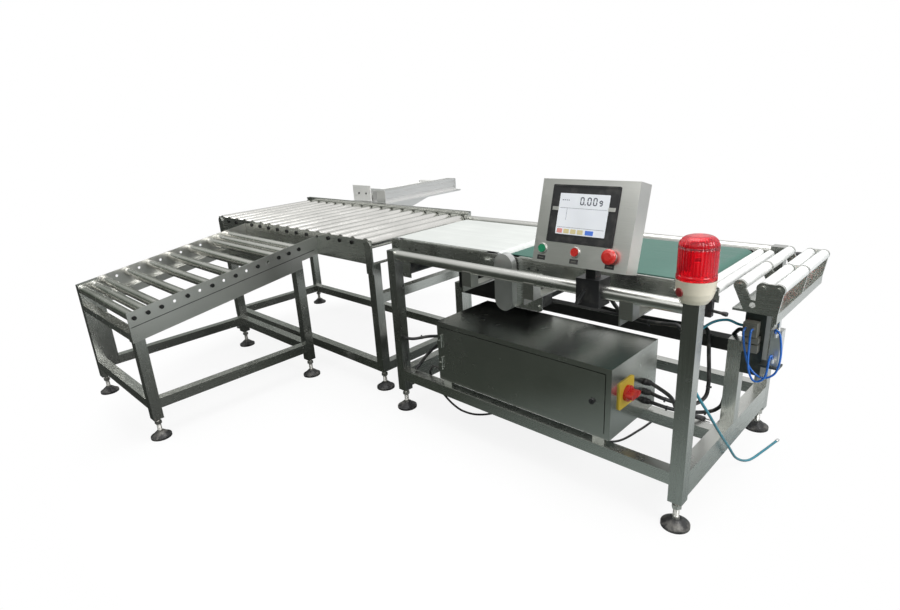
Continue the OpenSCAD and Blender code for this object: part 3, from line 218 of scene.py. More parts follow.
class Finish:
    """A material built from nodes round one Principled shader."""

    def __init__(self, name):
        self.material = bpy.data.materials.new(name)
        self.material.use_nodes = True
        self.tree = self.material.node_tree
        self.shader = self.tree.nodes["Principled BSDF"]
        self.place = self.node("ShaderNodeTexCoord", out="Object")

    def node(self, kind, settings=None, values=None, out=0):
        made = self.tree.nodes.new(kind)
        for key, value in (settings or {}).items():
            if key == "stops":
                ramp = made.color_ramp
                while len(ramp.elements) < len(value):
                    ramp.elements.new(0.5)
                for stop, (where, shade) in zip(ramp.elements, value):
                    stop.position, stop.color = where, (*shade, 1.0)
            else:
                setattr(made, key, value)
        for key, value in (values or {}).items():
            self.feed(made.inputs[key], value)
        return Wire(self, made.outputs[out])

    def feed(self, socket, value):
        if isinstance(value, Wire):
            self.tree.links.new(value.socket, socket)
        else:
            socket.default_value = value

    def noise(self, scale, size=1.0, detail=4.0, rough=0.55):
        """Cloudy pattern, 0 to 1; scale is a triple for patterns that are drawn out one way."""
        spread = self.node("ShaderNodeMapping", {}, {"Vector": self.place, "Scale": scale})
        return self.node("ShaderNodeTexNoise", {}, {"Vector": spread, "Scale": size, "Detail": detail,
                                                    "Roughness": rough})

    def part(self, axis):
        return self.node("ShaderNodeSeparateXYZ", {}, {"Vector": self.place}, out=axis)

    def ramp(self, value, stops):
        return self.node("ShaderNodeValToRGB", {"stops": stops}, {"Fac": value})

    def set(self, **values):
        for key, value in values.items():
            self.feed(self.shader.inputs[key.replace("_", " ").title()], value)

    def bump(self, height, strength, distance):
        self.feed(self.shader.inputs["Normal"], self.node("ShaderNodeBump", {}, {
            "Height": height, "Strength": strength, "Distance": distance}))


def tint(shade, factor):
    """A shade made darker or lighter by a factor, kept below one."""
    return tuple(min(1.0, c * factor) for c in shade)


# %% [markdown]
# ### Brushed stainless steel
# Tube, sheet and rollers are stainless steel that was ground with a belt: fine lines along each
# piece, cloudy patches where hands and cleaning left a film, and a few duller spots. The lines
# are noise drawn out along the way of grinding.

# %% Brushed steel
def brushed(name, shade, lines, rough=0.3, patch=2.5, spread=0.16, depth=0.12):
    """Grain and cloud are mixed into a shade; both, and the spots, change the roughness.

    lines: how quickly the grain changes along x, y and z, per metre.
    """
    f = Finish(name)
    grain = f.noise(lines, 1.0, 5.0, 0.65)
    cloud = f.noise((1, 1, 1), patch, 3.0, 0.5)
    spots = f.noise((1, 1, 1), 38.0, 2.0, 0.5)
    mix = grain * 0.55 + cloud * 0.45
    colour = f.ramp(mix, [(0.25, tint(shade, 1 - 1.6 * spread)), (0.5, shade),
                          (0.75, tint(shade, 1 + spread))])
    f.shader.inputs["Metallic"].default_value = 1.0
    f.set(base_color=colour,
          roughness=(grain - 0.5) * 0.14 + (cloud - 0.5) * 0.20 + spots.above(0.66) * 0.04 + rough)
    f.bump(grain, depth, 0.0006)
    return f.material


STEEL = (0.60, 0.61, 0.58)
leg_steel = brushed("leg_steel", tint(STEEL, 0.80), (600, 600, 10), 0.25, depth=0.015)
beam_steel = brushed("beam_steel", tint(STEEL, 0.92), (10, 10, 600), 0.25, depth=0.015)
sheet_steel = brushed("sheet_steel", tint(STEEL, 1.05), (8, 8, 500), 0.25, 3.0, depth=0.015)
box_steel = brushed("box_steel", (0.56, 0.57, 0.54), (5, 5, 800), 0.22, 4.0, 0.10, 0.03)
panel_steel = brushed("panel_steel", (0.78, 0.77, 0.74), (9, 1600, 1600), 0.34, 6.0, 0.07, 0.04)
roller_steel = brushed("roller_steel", (0.74, 0.73, 0.70), (500, 12, 500), 0.24, 6.0, 0.1)
gravity_steel = brushed("gravity_steel", (0.72, 0.71, 0.67), (12, 500, 500), 0.24, 6.0, 0.1)
drum_steel = brushed("drum_steel", (0.60, 0.60, 0.60), (500, 12, 500), 0.3, 6.0, 0.1)
rail_steel = brushed("rail_steel", (0.60, 0.60, 0.57), (8, 700, 700), 0.30, 3.0, 0.12)
plated = brushed("plated_steel", (0.62, 0.61, 0.58), (200, 200, 200), 0.35, 20.0, 0.2)
polished = brushed("polished_steel", (0.82, 0.82, 0.82), (300, 300, 300), 0.12, 8.0, 0.05)
cast_alu = brushed("cast_alloy", (0.50, 0.51, 0.50), (90, 90, 90), 0.48, 9.0, 0.14)
anodised = brushed("anodised_profile", (0.80, 0.80, 0.79), (700, 8, 700), 0.36, 3.0, 0.08, 0.05)
bolt_black = brushed("bolt_black", (0.05, 0.05, 0.05), (200, 200, 200), 0.4, 20.0, 0.2)
print("materials so far:", len(bpy.data.materials))


# %% [markdown]
# ### Plastics, rubber and paint
# Moulded pieces have a faint grain and change a little in tone; what is handled or stands on the
# floor has dust in patches. One function takes the shade, the grain's size and the gloss.

# %% Moulded and painted finishes
def moulded(name, shade, rough=0.45, grain=900.0, depth=0.12, dust=0.0, coat=0.0, metal=0.0):
    """Shade varied by a slow cloud, dust where a finer cloud is high, and a fine grain as bump."""
    f = Finish(name)
    cloud = f.noise((1, 1, 1), 7.0, 3.0)
    fine = f.noise((1, 1, 1), grain, 2.0)
    film = f.noise((1, 1, 1), 26.0, 5.0, 0.6)
    tone = f.ramp(cloud, [(0.3, tint(shade, 0.86)), (0.7, tint(shade, 1.12))])
    dusty = f.node("ShaderNodeMix", {"data_type": "RGBA"}, {
        "Factor": film.above(0.5) * ((film - 0.5) * 4.0).at_most(1.0) * dust,
        6: tone, 7: (0.42, 0.40, 0.36, 1.0)}, out=2)
    f.shader.inputs["Metallic"].default_value = metal
    f.set(base_color=dusty, roughness=(film - 0.5) * 0.25 + rough)
    if coat:
        f.shader.inputs["Coat Weight"].default_value = coat
        f.shader.inputs["Coat Roughness"].default_value = 0.08
    f.bump(fine, depth, 0.0004)
    return f.material


foot_black = moulded("foot_black", (0.022, 0.022, 0.023), 0.42, 700, 0.2, 0.5)
black_plastic = moulded("black_plastic", (0.028, 0.028, 0.030), 0.38, 900, 0.15, 0.15)
cable_black = moulded("cable_black", (0.016, 0.016, 0.017), 0.46, 1500, 0.1, 0.25)
motor_black = moulded("motor_black", (0.035, 0.037, 0.040), 0.36, 500, 0.2, 0.25, 0.3)
cell_black = moulded("cell_black", (0.012, 0.012, 0.012), 0.55, 1200, 0.2, 0.03)
cream = moulded("cream_plastic", (0.80, 0.74, 0.60), 0.30, 900, 0.06, 0.05, 0.3)
dark_red = moulded("dark_red_plastic", (0.24, 0.02, 0.02), 0.35, 900, 0.1)
yellow = moulded("yellow_plastic", (0.80, 0.56, 0.04), 0.35, 900, 0.08, 0.1, 0.2)
red = moulded("red_plastic", (0.62, 0.025, 0.02), 0.28, 900, 0.05, 0.0, 0.5)
green = moulded("green_plastic", (0.015, 0.26, 0.12), 0.28, 900, 0.05, 0.0, 0.5)
white_roll = moulded("white_roller", (0.80, 0.81, 0.80), 0.28, 600, 0.06, 0.1, 0.3)
white_plate = moulded("white_plate", (0.78, 0.78, 0.76), 0.4, 800, 0.08, 0.1)
blue = moulded("blue_tube", (0.02, 0.16, 0.62), 0.22, 900, 0.03, 0.0, 0.4)
teal = moulded("teal_hose", (0.015, 0.22, 0.30), 0.25, 900, 0.03, 0.0, 0.4)
grey_plastic = moulded("grey_plastic", (0.24, 0.235, 0.20), 0.4, 900, 0.1)
column_grey = moulded("column_grey", (0.06, 0.072, 0.066), 0.45, 300, 0.3, 0.2, 0.0, 0.6)
cover_alu = moulded("cover_alloy", (0.62, 0.63, 0.62), 0.34, 200, 0.12, 0.0, 0.0, 0.85)
print("materials with the moulded ones:", len(bpy.data.materials))


# %% [markdown]
# ### Belts
# The weigh belt is almost white; the infeed belt is green. Both are smooth
# plastic over cloth, so a fine square weave shows as bump, with scuffs along the way of travel.

# %% Belt finish
def belting(name, shade, scuff):
    """Weave = product of two fine sine waves; scuffs = noise drawn out along x."""
    f = Finish(name)
    x, y = f.part("X"), f.part("Y")
    weave = (x * 2600.0).wave() * (y * 2600.0).wave()
    rub = f.noise((3, 60, 3), 1.0, 5.0, 0.6)
    cloud = f.noise((1, 1, 1), 5.0, 3.0)
    tone = f.ramp(rub * 0.6 + cloud * 0.4, [(0.3, tint(shade, 0.88)), (0.55, shade), (0.8, scuff)])
    f.set(base_color=tone, roughness=(rub - 0.5) * 0.2 + 0.32)
    f.bump(weave, 0.12, 0.0003)
    return f.material


weigh_green = belting("weigh_belt_finish", (0.62, 0.64, 0.62), (0.73, 0.74, 0.72))
infeed_green = belting("infeed_belt_finish", (0.022, 0.115, 0.085), (0.075, 0.20, 0.155))
print("materials with the belts:", len(bpy.data.materials))


# %% [markdown]
# ## Cords first
# The mains lead leaves the cabinet's left end, drops behind the front beam and lies in wide curves
# below the machine, with its plug at the end. The air hose leaves the valve, passes behind the front
# right leg, drops outside the end beam and lies on the floor.

# %% Mains lead and air hose
lead_route = [[185.7, 30, 216], [170, 30, 216], [156, 31, 216], [139, 32, 211], [126, 33, 199],
              [119, 34, 182], [120, 35, 164], [130, 36, 147], [158, 39, 118], [190, 42, 90],
              [222, 50, 62], [254, 70, 35], [290, 112, 13], [328, 180, 5], [364, 310, 5], [396, 450, 5],
              [452, 560, 5], [548, 580, 5], [608, 480, 5], [640, 340, 5], [708, 250, 5], [796, 286, 5],
              [824, 410, 5], [836, 530, 5], [868, 594, 8], [930, 606, 15]]
hose_route = [[1154, 335, 512], [1138, 332, 514], [1114, 300, 532], [1096, 220, 540], [1086, 120, 520],
              [1104, 50, 470], [1136, 44, 410], [1160, 90, 330], [1166, 180, 230], [1168, 270, 140],
              [1172, 350, 60], [1184, 440, 12], [1200, 540, 5], [1216, 640, 5]]


def cord_piece(name, route, diameter, finish, side, replaced, far_end):
    """A tube round the smoothed route, with the cord's facts and measured length returned in a dict."""
    line = at(path(route, 14))
    piece = joined(name, [tube(line, diameter / 2, 14, side)], finish)
    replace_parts(piece, replaced)
    length = length_of(line)
    print(name, "length", round(length, 3), "m")
    return piece, line, dict(exit=line[0].tolist(), length=length, diameter=diameter, far_end=far_end,
                             stiffness="medium", lay="loose", path=line.tolist())


lead, lead_line, lead_facts = cord_piece("lead", lead_route, 0.008, cable_black, (0.83, 0.41, 0.37),
                                         "mains_lead", "plug")
hose, hose_line, hose_facts = cord_piece("hose", hose_route, 0.008, teal, (0.37, 0.83, 0.41), "air_hose",
                                         "connector")
tip_way = (hose_line[-1] - hose_line[-2]) / np.linalg.norm(hose_line[-1] - hose_line[-2])

# %% [markdown]
# ## Solids get their finishes
# Each node is named with its finish. The ten rollers of the sloping table and their like, which
# are not named, take the steel brushed along their axles.

# %% Every node gets its finish
finishes = {
    "frame_legs": leg_steel, "frame_beams": beam_steel, "rail_tubes": rail_steel, "foot_spindles": plated,
    "foot_pads": foot_black, "weigh_frame": sheet_steel, "infeed_frame": sheet_steel,
    "weigh_belt": weigh_green, "infeed_belt": infeed_green, "weigh_drive_drum": drum_steel,
    "weigh_idler_drum": drum_steel, "infeed_drive_drum": drum_steel, "infeed_idler_drum": drum_steel,
    "load_cell": cast_alu, "load_cell_housing": cell_black, "drive_motors": motor_black,
    "belt_cover": cover_alu, "cabinet_body": box_steel, "cabinet_door": box_steel,
    "door_lock": black_plastic, "switch_plate": yellow, "switch_handle": red, "panel_arm": black_plastic,
    "panel_box": panel_steel, "display": black_plastic, "start_button": green, "stop_button": red,
    "emergency_button": red, "beacon_base": cream, "beacon_reflector": polished,
    "transfer_rollers": white_roll, "cradle_column": column_grey, "cradle_frame": sheet_steel,
    "cradle_rollers": white_roll, "cylinder_body": anodised, "cylinder_rod": polished,
    "valve_block": grey_plastic, "air_tubes": blue, "wiring": cable_black, "table_rails": sheet_steel,
    "table_axles": bolt_black, "table_rollers": roller_steel, "pusher_unit": anodised,
    "pusher_plate": white_plate, "slope_rails": rail_steel, "slope_axles": bolt_black,
    "mains_plug": black_plastic, "mains_lead": cable_black, "air_hose": teal,
}
for name, piece in nodes.items():
    finish = finishes.get(name, gravity_steel)
    for slot in piece.material_slots:
        slot.material = finish
print("nodes with a finish:", len(nodes))

# %% [markdown]
# ## Operator panel
# Small plates on the panel are closed slabs with a narrow chamfer. They are drawn on the panel's
# own face: across, up, and outwards, in millimetres.

# %% Slabs on the panel's face
LEAN = math.radians(15)
PANEL_X, PANEL_Y, PANEL_Z = 707, -90, 744


def on_panel(grid):
    """(across, up, out) on the leaning face to a place in the machine."""
    a, b, h = np.moveaxis(np.asarray(grid, float), -1, 0)
    return at(np.stack([PANEL_X + a, PANEL_Y + b * math.sin(LEAN) - h * math.cos(LEAN),
                        PANEL_Z + b * math.cos(LEAN) + h * math.sin(LEAN)], -1))


def rounded(cx, cy, w, h, r, n=6):
    """Outline of a rounded rectangle: four corner arcs of radius r, anticlockwise."""
    s = (np.arange(4)[:, None] * 90 + np.linspace(0, 90, n)[None]) * math.pi / 180
    sx, sy = np.array([1, -1, -1, 1])[:, None], np.array([1, 1, -1, -1])[:, None]
    x = cx + sx * (w / 2 - r) + r * np.cos(s)
    y = cy + sy * (h / 2 - r) + r * np.sin(s)
    return np.stack([x.ravel(), y.ravel()], -1)


def slab(outline, low, high, edge=0.3):
    """Outline at the low and high level, then drawn in by the edge to make a chamfer."""
    c = outline.mean(axis=0)
    span = np.linalg.norm(outline - c, axis=1).mean()
    inner = c + (outline - c) * (1 - edge / span)
    rows = [(outline, low), (outline, high - edge), (inner, high)]
    return np.stack([np.column_stack([o, np.full(len(o), z)]) for o, z in rows])


def emissive(name, shade, glow):
    """Surface that shines in its own shade, varied a little by a slow cloud: the screen is backlit, while on the
    keys the glow is painted light.
    """
    f = Finish(name)
    cloud = f.noise((1, 1, 1), 9.0, 2.0)
    tone = f.ramp(cloud, [(0.3, tint(shade, 0.94)), (0.7, tint(shade, 1.04))])
    f.set(base_color=tone, roughness=(cloud - 0.5) * 0.1 + 0.25, emission_color=tone)
    f.shader.inputs["Emission Strength"].default_value = glow
    return f.material


screen_white = emissive("screen_white", (0.78, 0.80, 0.84), 0.25)
digit_grey = moulded("digit_grey", (0.12, 0.13, 0.16), 0.4)
# The keys glow faintly though they have no light of their own: painted light.
key_red = emissive("key_red", (0.75, 0.30, 0.28), 0.15)
key_yellow = emissive("key_yellow", (0.72, 0.62, 0.34), 0.15)
key_blue = emissive("key_blue", (0.10, 0.22, 0.72), 0.15)

# %% [markdown]
# The reading is three plain seven-segment digits with a point, and a smaller sign for the unit.
# Each segment is a six-sided bar.

# %% Screen with digits and keys
joined("screen_face", [on_panel(slab(rounded(137, 139, 148, 110, 2), 2.9, 3.4))],
       screen_white, "panel", False)


BAR = 1.6


def segment(x0, y0, x1, y1):
    """Bar from one end to the other with pointed ends, twice as wide as BAR."""
    a, b = np.array([x0, y0], float), np.array([x1, y1], float)
    w = (b - a) / np.linalg.norm(b - a) * BAR
    n = np.array([-w[1], w[0]])
    return np.array([a, a + w - n, b - w - n, b, b - w + n, a + w + n])


def digit(x, y, lit, w=9.0, h=18.0):
    """Segments a to g of one digit, those named in lit."""
    ends = {"a": (0, h, w, h), "b": (w, h / 2, w, h), "c": (w, 0, w, h / 2), "d": (0, 0, w, 0),
            "e": (0, 0, 0, h / 2), "f": (0, h / 2, 0, h), "g": (0, h / 2, w, h / 2)}
    return [segment(x + e[0], y + e[1], x + e[2], y + e[3]) for k, e in ends.items() if k in lit]


bars = digit(128, 166, "abcdef") + digit(149, 166, "abcdef") + digit(166, 166, "abcdef")
bars += [rounded(142, 166, 3.4, 3.4, 0.8), *digit(184, 166, "abcdfg", 7, 12)]
joined("reading", [on_panel(slab(o, 3.35, 3.6, 0.1)) for o in bars], digit_grey, "panel", False)
lines = [rounded(137, 155, 140, 0.8, 0.3), rounded(90, 139, 0.8, 32, 0.3), rounded(137, 103, 140, 0.8, 0.3)]
lines += [rounded(74 + 6 * k, 176, 3.6, 2.2, 0.5) for k in range(4)]
joined("screen_lines", [on_panel(slab(o, 3.35, 3.5, 0.05)) for o in lines], digit_grey, "panel", False)
for name, finish, places in (("key_red", key_red, [76]), ("keys_yellow", key_yellow, [97, 118, 139]),
                             ("key_blue", key_blue, [166])):
    joined(name, [on_panel(slab(rounded(x, 93, 24 if x == 166 else 17, 12, 1.5), 3.35, 3.7)) for x in places],
           finish, "panel", False)

# %% [markdown]
# Round the screen lie the bezel's raised rim and two tabs. Below it each button has a plated
# collar and a small plate with a plain mark.

# %% Rim, tabs, legend plates and collars
BUTTONS = (28, 132)
LEGENDS = (*BUTTONS, 237)
joined("bezel_rim", [on_panel(slab(o, 1.9, 3.6, 0.6)) for o in (
    rounded(137, 214, 198, 4, 1.5), rounded(137, 64, 198, 4, 1.5),
    rounded(40, 139, 4, 146, 1.5), rounded(234, 139, 4, 146, 1.5))], black_plastic, "panel")
joined("legend_plates", [on_panel(slab(rounded(x, 14, 26, 13, 1), -0.1, 0.8)) for x in LEGENDS],
       black_plastic, "panel", False)
joined("legend_marks", [on_panel(slab(rounded(x, 14, 15, 1.6, 0.5), 0.7, 0.9, 0.05)) for x in LEGENDS],
       grey_plastic, "panel", False)
joined("release_tabs", [on_panel(slab(rounded(x, y, 20, 10, 1), 3.3, 3.9))
                        for x, y in ((54, 152), (220, 158))],
       panel_steel, "panel", False)
joined("panel_seam", [on_panel(slab(o, -0.2, 0.5, 0.3)) for o in (
    rounded(142.5, 230, 281, 1.2, 0.5), rounded(142.5, 2, 281, 1.2, 0.5))], panel_steel, "panel")
collar = turned([(0.1, 11.6), (0.1, 15.6), (3.4, 15.0), (4.4, 13.8), (4.4, 11.6)], (0, 0, 0), (0, 0, 1), 36)
joined("button_collars", [on_panel(collar + [x, 39, 0]) for x in BUTTONS], plated, "panel", loop=True)

# %% [markdown]
# ## Rotating beacon
# The dome is one closed shell turned about its axis: up the inside is drawn downwards first, then
# the foot ring, then the outside up to the crown. Vertical ribs are a cosine of the angle.

# %% Ribbed dome
BEACON_X, DOME_FOOT = 1130, 735
RIBS, RIB_DEEP = 36, 1.1


def dome():
    """Radius = profile - rib depth * (1 - cos(36 s)) / 2, ribs fading out at the crown and foot."""
    crown, r, h, t = 26.0, 46.6, 107.0, 2.6
    arc = np.radians(np.linspace(0, 88, 14))
    outer = np.vstack([[[48, 0], [48, 9], [47.6, 11], [r, 12]],
                       np.column_stack([np.full(9, r), np.linspace(16, h - crown, 9)]),
                       np.column_stack([r - crown + crown * np.cos(arc), h - crown + crown * np.sin(arc)]),
                       [[8, h - 0.2], [0.5, h]]])
    inner = np.vstack([[[0.5, h - t], [8, h - t - 0.2]],
                       np.column_stack([r - crown + (crown - t) * np.cos(arc[::-1]),
                                        h - crown + (crown - t) * np.sin(arc[::-1])]),
                       np.column_stack([np.full(9, r - t), np.linspace(h - crown, 4, 9)]), [[r - t, 0]]])
    p = np.vstack([inner, outer])
    s = 2 * np.pi * np.arange(6 * RIBS) / (6 * RIBS)
    fade = np.clip((p[:, 1] - 11) / 8, 0, 1) * np.clip((p[:, 0] - 15) / 20, 0, 1)
    rib = (1 - np.cos(RIBS * s))[None] / 2 * (fade * RIB_DEEP)[:, None]
    radius = p[:, :1] - rib
    return at(np.stack([BEACON_X + radius * np.cos(s), radius * np.sin(s),
                        DOME_FOOT + np.broadcast_to(p[:, 1:], radius.shape)], -1))


def clear_red():
    """Clear red plastic, its shade and gloss varied by a slow cloud."""
    f = Finish("dome_red")
    cloud = f.noise((1, 1, 1), 30.0, 3.0)
    f.set(base_color=f.ramp(cloud, [(0.3, (0.96, 0.02, 0.06)), (0.7, (1.0, 0.04, 0.09))]),
          roughness=cloud * 0.06 + 0.05)
    f.shader.inputs["Transmission Weight"].default_value = 0.88
    f.shader.inputs["IOR"].default_value = 1.46
    return f.material


glass = joined("dome_glass", [dome()], clear_red())
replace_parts(glass, "beacon_dome")
DISC_WAY = np.array([-0.5, -0.866, 0.0])
DISC_REACH, DISC_LEVEL = 46.8, 705
disc = turned([(-6, 0.4), (-6, 11.4), (1.3, 11.4), (1.9, 10.7), (1.9, 0.4)], (0, 0, 0), DISC_WAY, 32)
joined("beacon_disc", [disc / 1000 + at([BEACON_X, 0, DISC_LEVEL] + DISC_REACH * DISC_WAY)], dark_red)

# %% [markdown]
# ## Cables and air tubes
# The fixed cables run from glands in the cabinet's ends up the legs; the air tubes loop below the
# cylinder. Each is a round tube on its smoothed route. Nylon ties hold the cables every so often.

# %% Fixed cables
wire_routes = [
    [[862, 38.5, 656], [862, 46, 656], [862, 53, 655], [865, 68, 622], [900, 80, 575], [960, 85, 560],
     [1030, 70, 572], [1080, 50, 580], [1098, 40, 540], [1098, 40, 380], [1080, 80, 320],
     [1020, 170, 305], [940, 220, 304]],
    [[940, 220, 270], [985, 222, 262], [1040, 270, 240], [1066, 325, 250], [1070, 338, 300],
     [1062, 338, 400], [1058, 338, 444], [1048, 346, 472], [1014, 366, 470], [900, 370, 464],
     [720, 370, 464], [600, 372, 484], [560, 376, 530], [554, 362, 561]],
    [[940, 220, 238], [1000, 240, 225], [1050, 310, 200], [1085, 385, 190], [1102, 397, 240],
     [1104, 397, 420], [1120, 397, 470], [1143, 380, 480]],
    [[186, 60, 342], [120, 40, 332], [70, 12, 320], [42, 0, 318], [20.4, 0, 318]],
    [[186, 100, 302], [130, 90, 290], [84, 60, 240], [62, 36, 200], [60, 10, 185]],
    [[186, 140, 312], [116, 146, 290], [96, 150, 250], [116, 146, 222], [186, 140, 228]]]
wires = [at(path(route, 10)) for route in wire_routes]


def gland(end, way):
    """Hexagon, ridged nut and rounded rubber tip, turned about the way out of the wall."""
    ridged = [(7.5 + 0.6 * k, 9.7 - 0.35 * (k % 2)) for k in range(15)]
    nut = [(0, 1), (0, 11)] + [(7.3, 11)] + ridged + [(17, 9.2), (19.5, 8.4), (21.6, 7.0), (22, 1)]
    return turned(np.array(nut) / 1000, at(end), way, 24)


CAB_LEFT, CAB_RIGHT, CAB_FOOT = 208, 918, 192
glands = [gland((CAB_RIGHT, 220, CAB_FOOT + up), (1, 0, 0)) for up in (112, 78, 46)]
glands += [gland((CAB_LEFT, y, CAB_FOOT + up), (-1, 0, 0))
           for y, up in ((60, 150), (100, 110), (140, 120), (140, 36), (30, 24))]
cables = joined("cables", [tube(line, 0.006, 16) for line in wires] + glands, cable_black)
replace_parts(cables, "wiring")

# %% [markdown]
# A tie is a short band a little wider than the cable, with its head as a small block on top.

# %% Ties
def tie(line, share):
    """Band of 5 mm at a share of the line's points."""
    k = int(share * (len(line) - 2))
    way = (line[k + 1] - line[k]) / np.linalg.norm(line[k + 1] - line[k])
    middle = line[k]
    band = turned([(-0.0024, 0.0055), (-0.0024, 0.0066), (0.0024, 0.0066), (0.0024, 0.0055)], middle, way, 20)
    out = np.cross(way, [0.2, -0.9, 0.3])
    out /= np.linalg.norm(out)
    head = turned([(0.0055, 0.0008), (0.0057, 0.0032), (0.0098, 0.0032), (0.0103, 0.0008)], middle, out, 4)
    return [band, head]


ties = [piece for line, shares in zip(wires, ([0.2, 0.45, 0.7, 0.88], [0.08, 0.3, 0.5, 0.66, 0.8],
                                              [0.12, 0.36, 0.6, 0.8], [0.4], [0.45], [0.5]))
        for share in shares for piece in tie(line, share)]
joined("cable_ties", ties, black_plastic)

# %% [markdown]
# Two thin blue tubes loop from the valve below the cylinder. Their places are measured from the
# column.

# %% Air tubes
COLUMN_X = 1150
air_routes = [
    [[90, 318, 512.5], [91, 312, 524], [106, 304, 512], [114, 304, 450], [104, 308, 395],
     [72, 306, 374], [38, 304, 400], [22, 300, 450], [14, 298, 500], [13.5, 305, 511],
     [13.5, 314, 512.4]],
    [[90, 318, 434.2], [90, 312, 446], [88, 300, 440], [82, 300, 380], [56, 298, 362],
     [38, 296, 400], [34, 294, 470], [32.5, 300, 508], [32.5, 314, 512.4]]]
tubes = [tube(at(path(np.array(route) + [COLUMN_X, 0, 0], 12)), 0.003, 14) for route in air_routes]
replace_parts(joined("air_loops", tubes, blue), "air_tubes")

# %% [markdown]
# ## Ends of the mains lead
# A tapered, ribbed sleeve keeps the lead from kinking where it enters the plug. The plug's body
# is a row of cross sections, each between an ellipse and a rectangle.

# %% Plug and strain relief
def sleeve(line, reach, root, tip):
    """The line's last stretch, its radius growing from the tip to the root in steps."""
    left = np.concatenate([np.cumsum(np.linalg.norm(np.diff(line, axis=0), axis=1)[::-1])[::-1], [0]])
    want = np.linspace(reach, 0, 33)
    points = np.stack([np.interp(want, left[::-1], line[::-1, i]) for i in range(3)], -1)
    grow = np.linspace(tip, root, len(want)) - 0.0005 * (np.arange(len(want)) % 3 == 2)
    return tube(points, grow, 18)


def squared(x, w, h, z):
    """|2y/w|^3.2 + |2z/h|^3.2 = 1 at one place along x."""
    power, n = 3.2, 32
    s = 2 * np.pi * np.arange(n) / n
    c, d = np.cos(s), np.sin(s)
    return np.stack([np.full(n, x), w / 2 * np.sign(c) * np.abs(c) ** (2 / power),
                     z + h / 2 * np.sign(d) * np.abs(d) ** (2 / power)], -1)


sections = [(0, 14, 13, 0), (1, 17, 16, 0), (8, 20, 17, -0.6), (18, 29, 20, -2), (27, 33, 23, -3),
            (40, 33.4, 23.4, -3.3), (46.5, 33, 23, -3.3), (48, 31, 21.5, -3.3)]
plug_end = np.array([930, 606, 15.0])
body = np.stack([squared(*section) for section in sections])
pin_profile = [(47, 0.4), (47, 2.5), (58, 2.5), (70.5, 2.2), (72, 1.4), (72, 0.3)]
pins = [turned(pin_profile, (0, y, 0), (1, 0, 0), 16) for y in (-8.5, 8.5)]
plug = joined("plug_body", [at(body + plug_end), sleeve(lead_line, 0.045, 0.0076, 0.0048)], black_plastic)
prongs = joined("plug_pins", [at(pin + plug_end) for pin in pins], plated)
collar_profile = [(0, 0.0041), (0, 0.0075), (0.004, 0.0072), (0.012, 0.0058), (0.022, 0.0046),
                  (0.024, 0.0041)]
relief = joined("lead_collar", [turned(collar_profile, lead_line[0], (-1, -0.02, -0.03))], cable_black)
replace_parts(plug, "mains_plug")

# %% [markdown]
# ## Painted shade on the centre beam
# The beam that carries the load cell lies in shadow under the conveyors; a black sleeve, a hair wider than the
# tube, is put round it as painted shade.

# %% Painted shade sleeve on the beam
BEAM = np.array([370, 435])
ring = rounded(*BEAM, 41, 41, 3, 5)
case = np.stack([np.column_stack([np.full(len(ring), x), BEAM + (ring - BEAM) * k])
                 for x, k in ((20.5, 0.97), (22, 1), (1108, 1), (1109.5, 0.97))])
# Black sleeve over the stainless beam: painted shade, not a part of the machine
joined("beam_shade_sleeve", [at(case)], cell_black, smooth=False)

# %% [markdown]
# ## Small fittings
# The seam of the sloping rail is a thin strip that rises with it. The pusher plate has two dark
# screws with a socket.

# %% Seam of the sloping rail, screws of the pusher plate
def along_slope(y0, y1, down, height, out):
    """Long strip on the outer face of the right sloping rail, following its 8.5 degree rise."""
    rise = math.tan(math.radians(8.5))
    ys = np.linspace(y0, y1, 5)
    zs = 663 + (ys - 43.2) * rise - down
    box = np.array([[0, 0], [out, 0.2], [out, height - 0.2], [0, height]])
    return np.stack([np.column_stack([-587 + box[:, 0], np.full(4, y), z + box[:, 1]])
                     for y, z in zip(ys, zs)])


joined("slope_seam", [at(along_slope(-812, 20, 60, 3.0, 0.5)[:, ::-1])], bolt_black, smooth=False)
screw = [(0, 0.3), (0, 5.2), (2.6, 5.2), (3.4, 4.2), (3.4, 2.4), (1.4, 2.2), (1.4, 0.3)]
low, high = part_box("pusher_plate")
front = (0.5 * (low[0] + high[0]), low[1], 0.5 * (low[2] + high[2]))
print("pusher plate", [round(c, 4) for c in low], [round(c, 4) for c in high])
joined("plate_screws", [turned(np.array(screw) / 1000, (front[0] + dx, front[1] - 0.0002, front[2]),
                               (0, -1, 0), 20) for dx in (-0.045, 0.02)], bolt_black, "pusher_plate")

# %% [markdown]
# The sensor sits on the rear leg, the clamp with its lever below the infeed conveyor. The
# levelling feet get ridges in place of a thread.

# %% Sensor, clamp and threads
sensor = [(0, 0.4), (0, 11), (4, 11), (4.2, 8.2)] + [(5 + 1.2 * k, 8.2 - 0.4 * (k % 2)) for k in range(22)]
sensor += [(32, 8.6), (60, 8.6), (62, 7.6), (62.2, 5.5), (61, 5.2), (61, 0.4)]
joined("rear_sensor", [turned(np.array(sensor) / 1000, at([1150, 690, 652]), (1, 0, 0.02), 28)], black_plastic)
clamp = slab(rounded(0, 0, 22, 48, 4), -7, 7, 1.2)
clamp = np.stack([clamp[..., 0] + 1128, 108 - clamp[..., 2], clamp[..., 1] + 626], -1)
lever = turned([(0, 0.4), (0, 4), (30, 4), (34, 5.5), (42, 6.5), (46, 5), (47, 0.4)], (0, 0, 0), (1, 0, -0.08), 20)
joined("clamp_lever", [at(clamp), at(lever + [1132, 104, 622])], black_plastic)
feet = [(x, y) for x in (0, 1130) for y in (0, 690)]
feet += [(x, y) for x in (-1551, -212) for y in (63.5, 626.5)]
feet += [(x, y) for x in (-1250, -607) for y in (-792.8, -70.8)]
